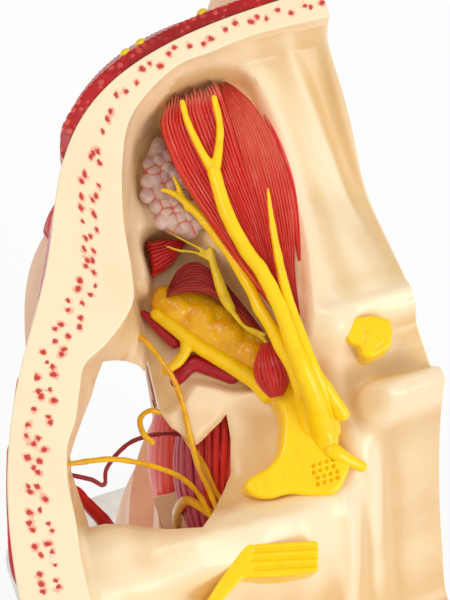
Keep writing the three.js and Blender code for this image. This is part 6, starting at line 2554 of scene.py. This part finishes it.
@dataclass
class Studio:
    """Camera, soft light and pale floor."""

    bench: Bench
    world_light: float = 0.66
    key_power: float = 2.4
    side_power: float = 4.4
    key_size: float = 0.45
    floor_shade: float = 0.86

    def build(self) -> None:
        """Sets them all up."""
        self.camera()
        self.light()
        self.floor()
        bpy.context.scene.view_settings.view_transform = "Standard"

    def camera(self) -> None:
        """The camera at the photograph's angle."""
        data = bpy.data.cameras.new("camera")
        data.lens = LENS
        data.sensor_width = 36
        data.sensor_fit = "AUTO"
        data.clip_start, data.clip_end = 0.05, 20
        axes = Matrix((IMAGE_RIGHT, -IMAGE_DOWN, -VIEW_WAY)).transposed().to_4x4()
        spot = self.bench.move @ Vector(CAMERA)
        camera = bpy.data.objects.new("camera", data)
        camera.matrix_world = Matrix.Translation(spot) @ axes
        bpy.context.scene.collection.objects.link(camera)
        bpy.context.scene.camera = camera

    def lamp(self, name: str, offset: Vector, power: float, size: float) -> None:
        """A square lamp that faces the skull's floor from an offset in metres.

        Args:
            name: Its name.
            offset: Where it stands.
            power: Its power in watts.
            size: Its side.
        """
        data = bpy.data.lights.new(name, "AREA")
        data.energy, data.size = power, size
        lamp = bpy.data.objects.new(name, data)
        target = self.bench.move @ Vector((25, -20, 0))
        lamp.matrix_world = Matrix.Translation(target + offset) @ offset.to_track_quat("Z", "Y").to_matrix().to_4x4()
        bpy.context.scene.collection.objects.link(lamp)

    def light(self) -> None:
        """A lamp from the picture's upper left, a wide one from its right, and the world's even light."""
        way = (-IMAGE_RIGHT * 0.75 - IMAGE_DOWN * 0.8 - VIEW_WAY * 1.35).normalized()
        self.lamp("key", way * 0.95, self.key_power, self.key_size)
        way = (IMAGE_RIGHT * 1.1 + IMAGE_DOWN * 0.5 - VIEW_WAY * 0.75).normalized()
        self.lamp("side", way * 0.95, self.side_power, self.key_size * 1.4)
        kit = Shader("studio", of_world=True)
        camera_ray, clear_ray = (
            kit.node("ShaderNodeLightPath", output=f"Is {ray} Ray") for ray in ("Camera", "Transmission")
        )
        soft, white = (
            kit.node("ShaderNodeBackground", {}, {"Color": (1, 1, 1, 1), "Strength": strength})
            for strength in (self.world_light, 1.0)
        )
        kit.end(kit.node("ShaderNodeMixShader", {}, {0: camera_ray.highest(clear_ray), 1: soft, 2: white}))
        bpy.context.scene.world = kit.material

    def floor(self) -> None:
        """A large pale floor that looks white and keeps the object's soft shadow."""
        bm = bmesh.new()
        bmesh.ops.create_grid(bm, x_segments=2, y_segments=2, size=4.0)
        mesh = mesh_of(bm)
        kit = Shader("pale_floor")
        camera_ray = kit.node("ShaderNodeLightPath", output="Is Camera Ray")
        glossy_ray = kit.node("ShaderNodeLightPath", output="Is Glossy Ray")
        clear_ray = kit.node("ShaderNodeLightPath", output="Is Transmission Ray")
        white = kit.node("ShaderNodeEmission", {}, {"Color": (1, 1, 1, 1), "Strength": 1.0})
        matt = kit.node("ShaderNodeBsdfDiffuse", {}, {"Color": (self.floor_shade,) * 3 + (1,)})
        seen = camera_ray.highest(glossy_ray).highest(clear_ray) * 0.88
        kit.end(kit.node("ShaderNodeMixShader", {}, {0: seen, 1: matt, 2: white}))
        mesh.materials.append(kit.material)
        floor = bpy.data.objects.new("floor", mesh)
        floor.location.z = -0.0002
        bpy.context.scene.collection.objects.link(floor)


def main() -> None:
    """Builds the head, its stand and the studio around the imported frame."""
    logging.basicConfig(level=logging.INFO, format="%(name)s: %(message)s")
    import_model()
    bench = Bench.from_frame()
    Studio(bench).build()
    for assembly in (SkullBase(bench), Orbit(bench), Wiring(bench), Fossa(bench), HeadBlocks(bench), Inlays(bench),
                     OuterCoat(bench), Stand(bench)):
        LOG.info("building %s", type(assembly).__name__)
        assembly.build()


if __name__ == "__main__":
    main()
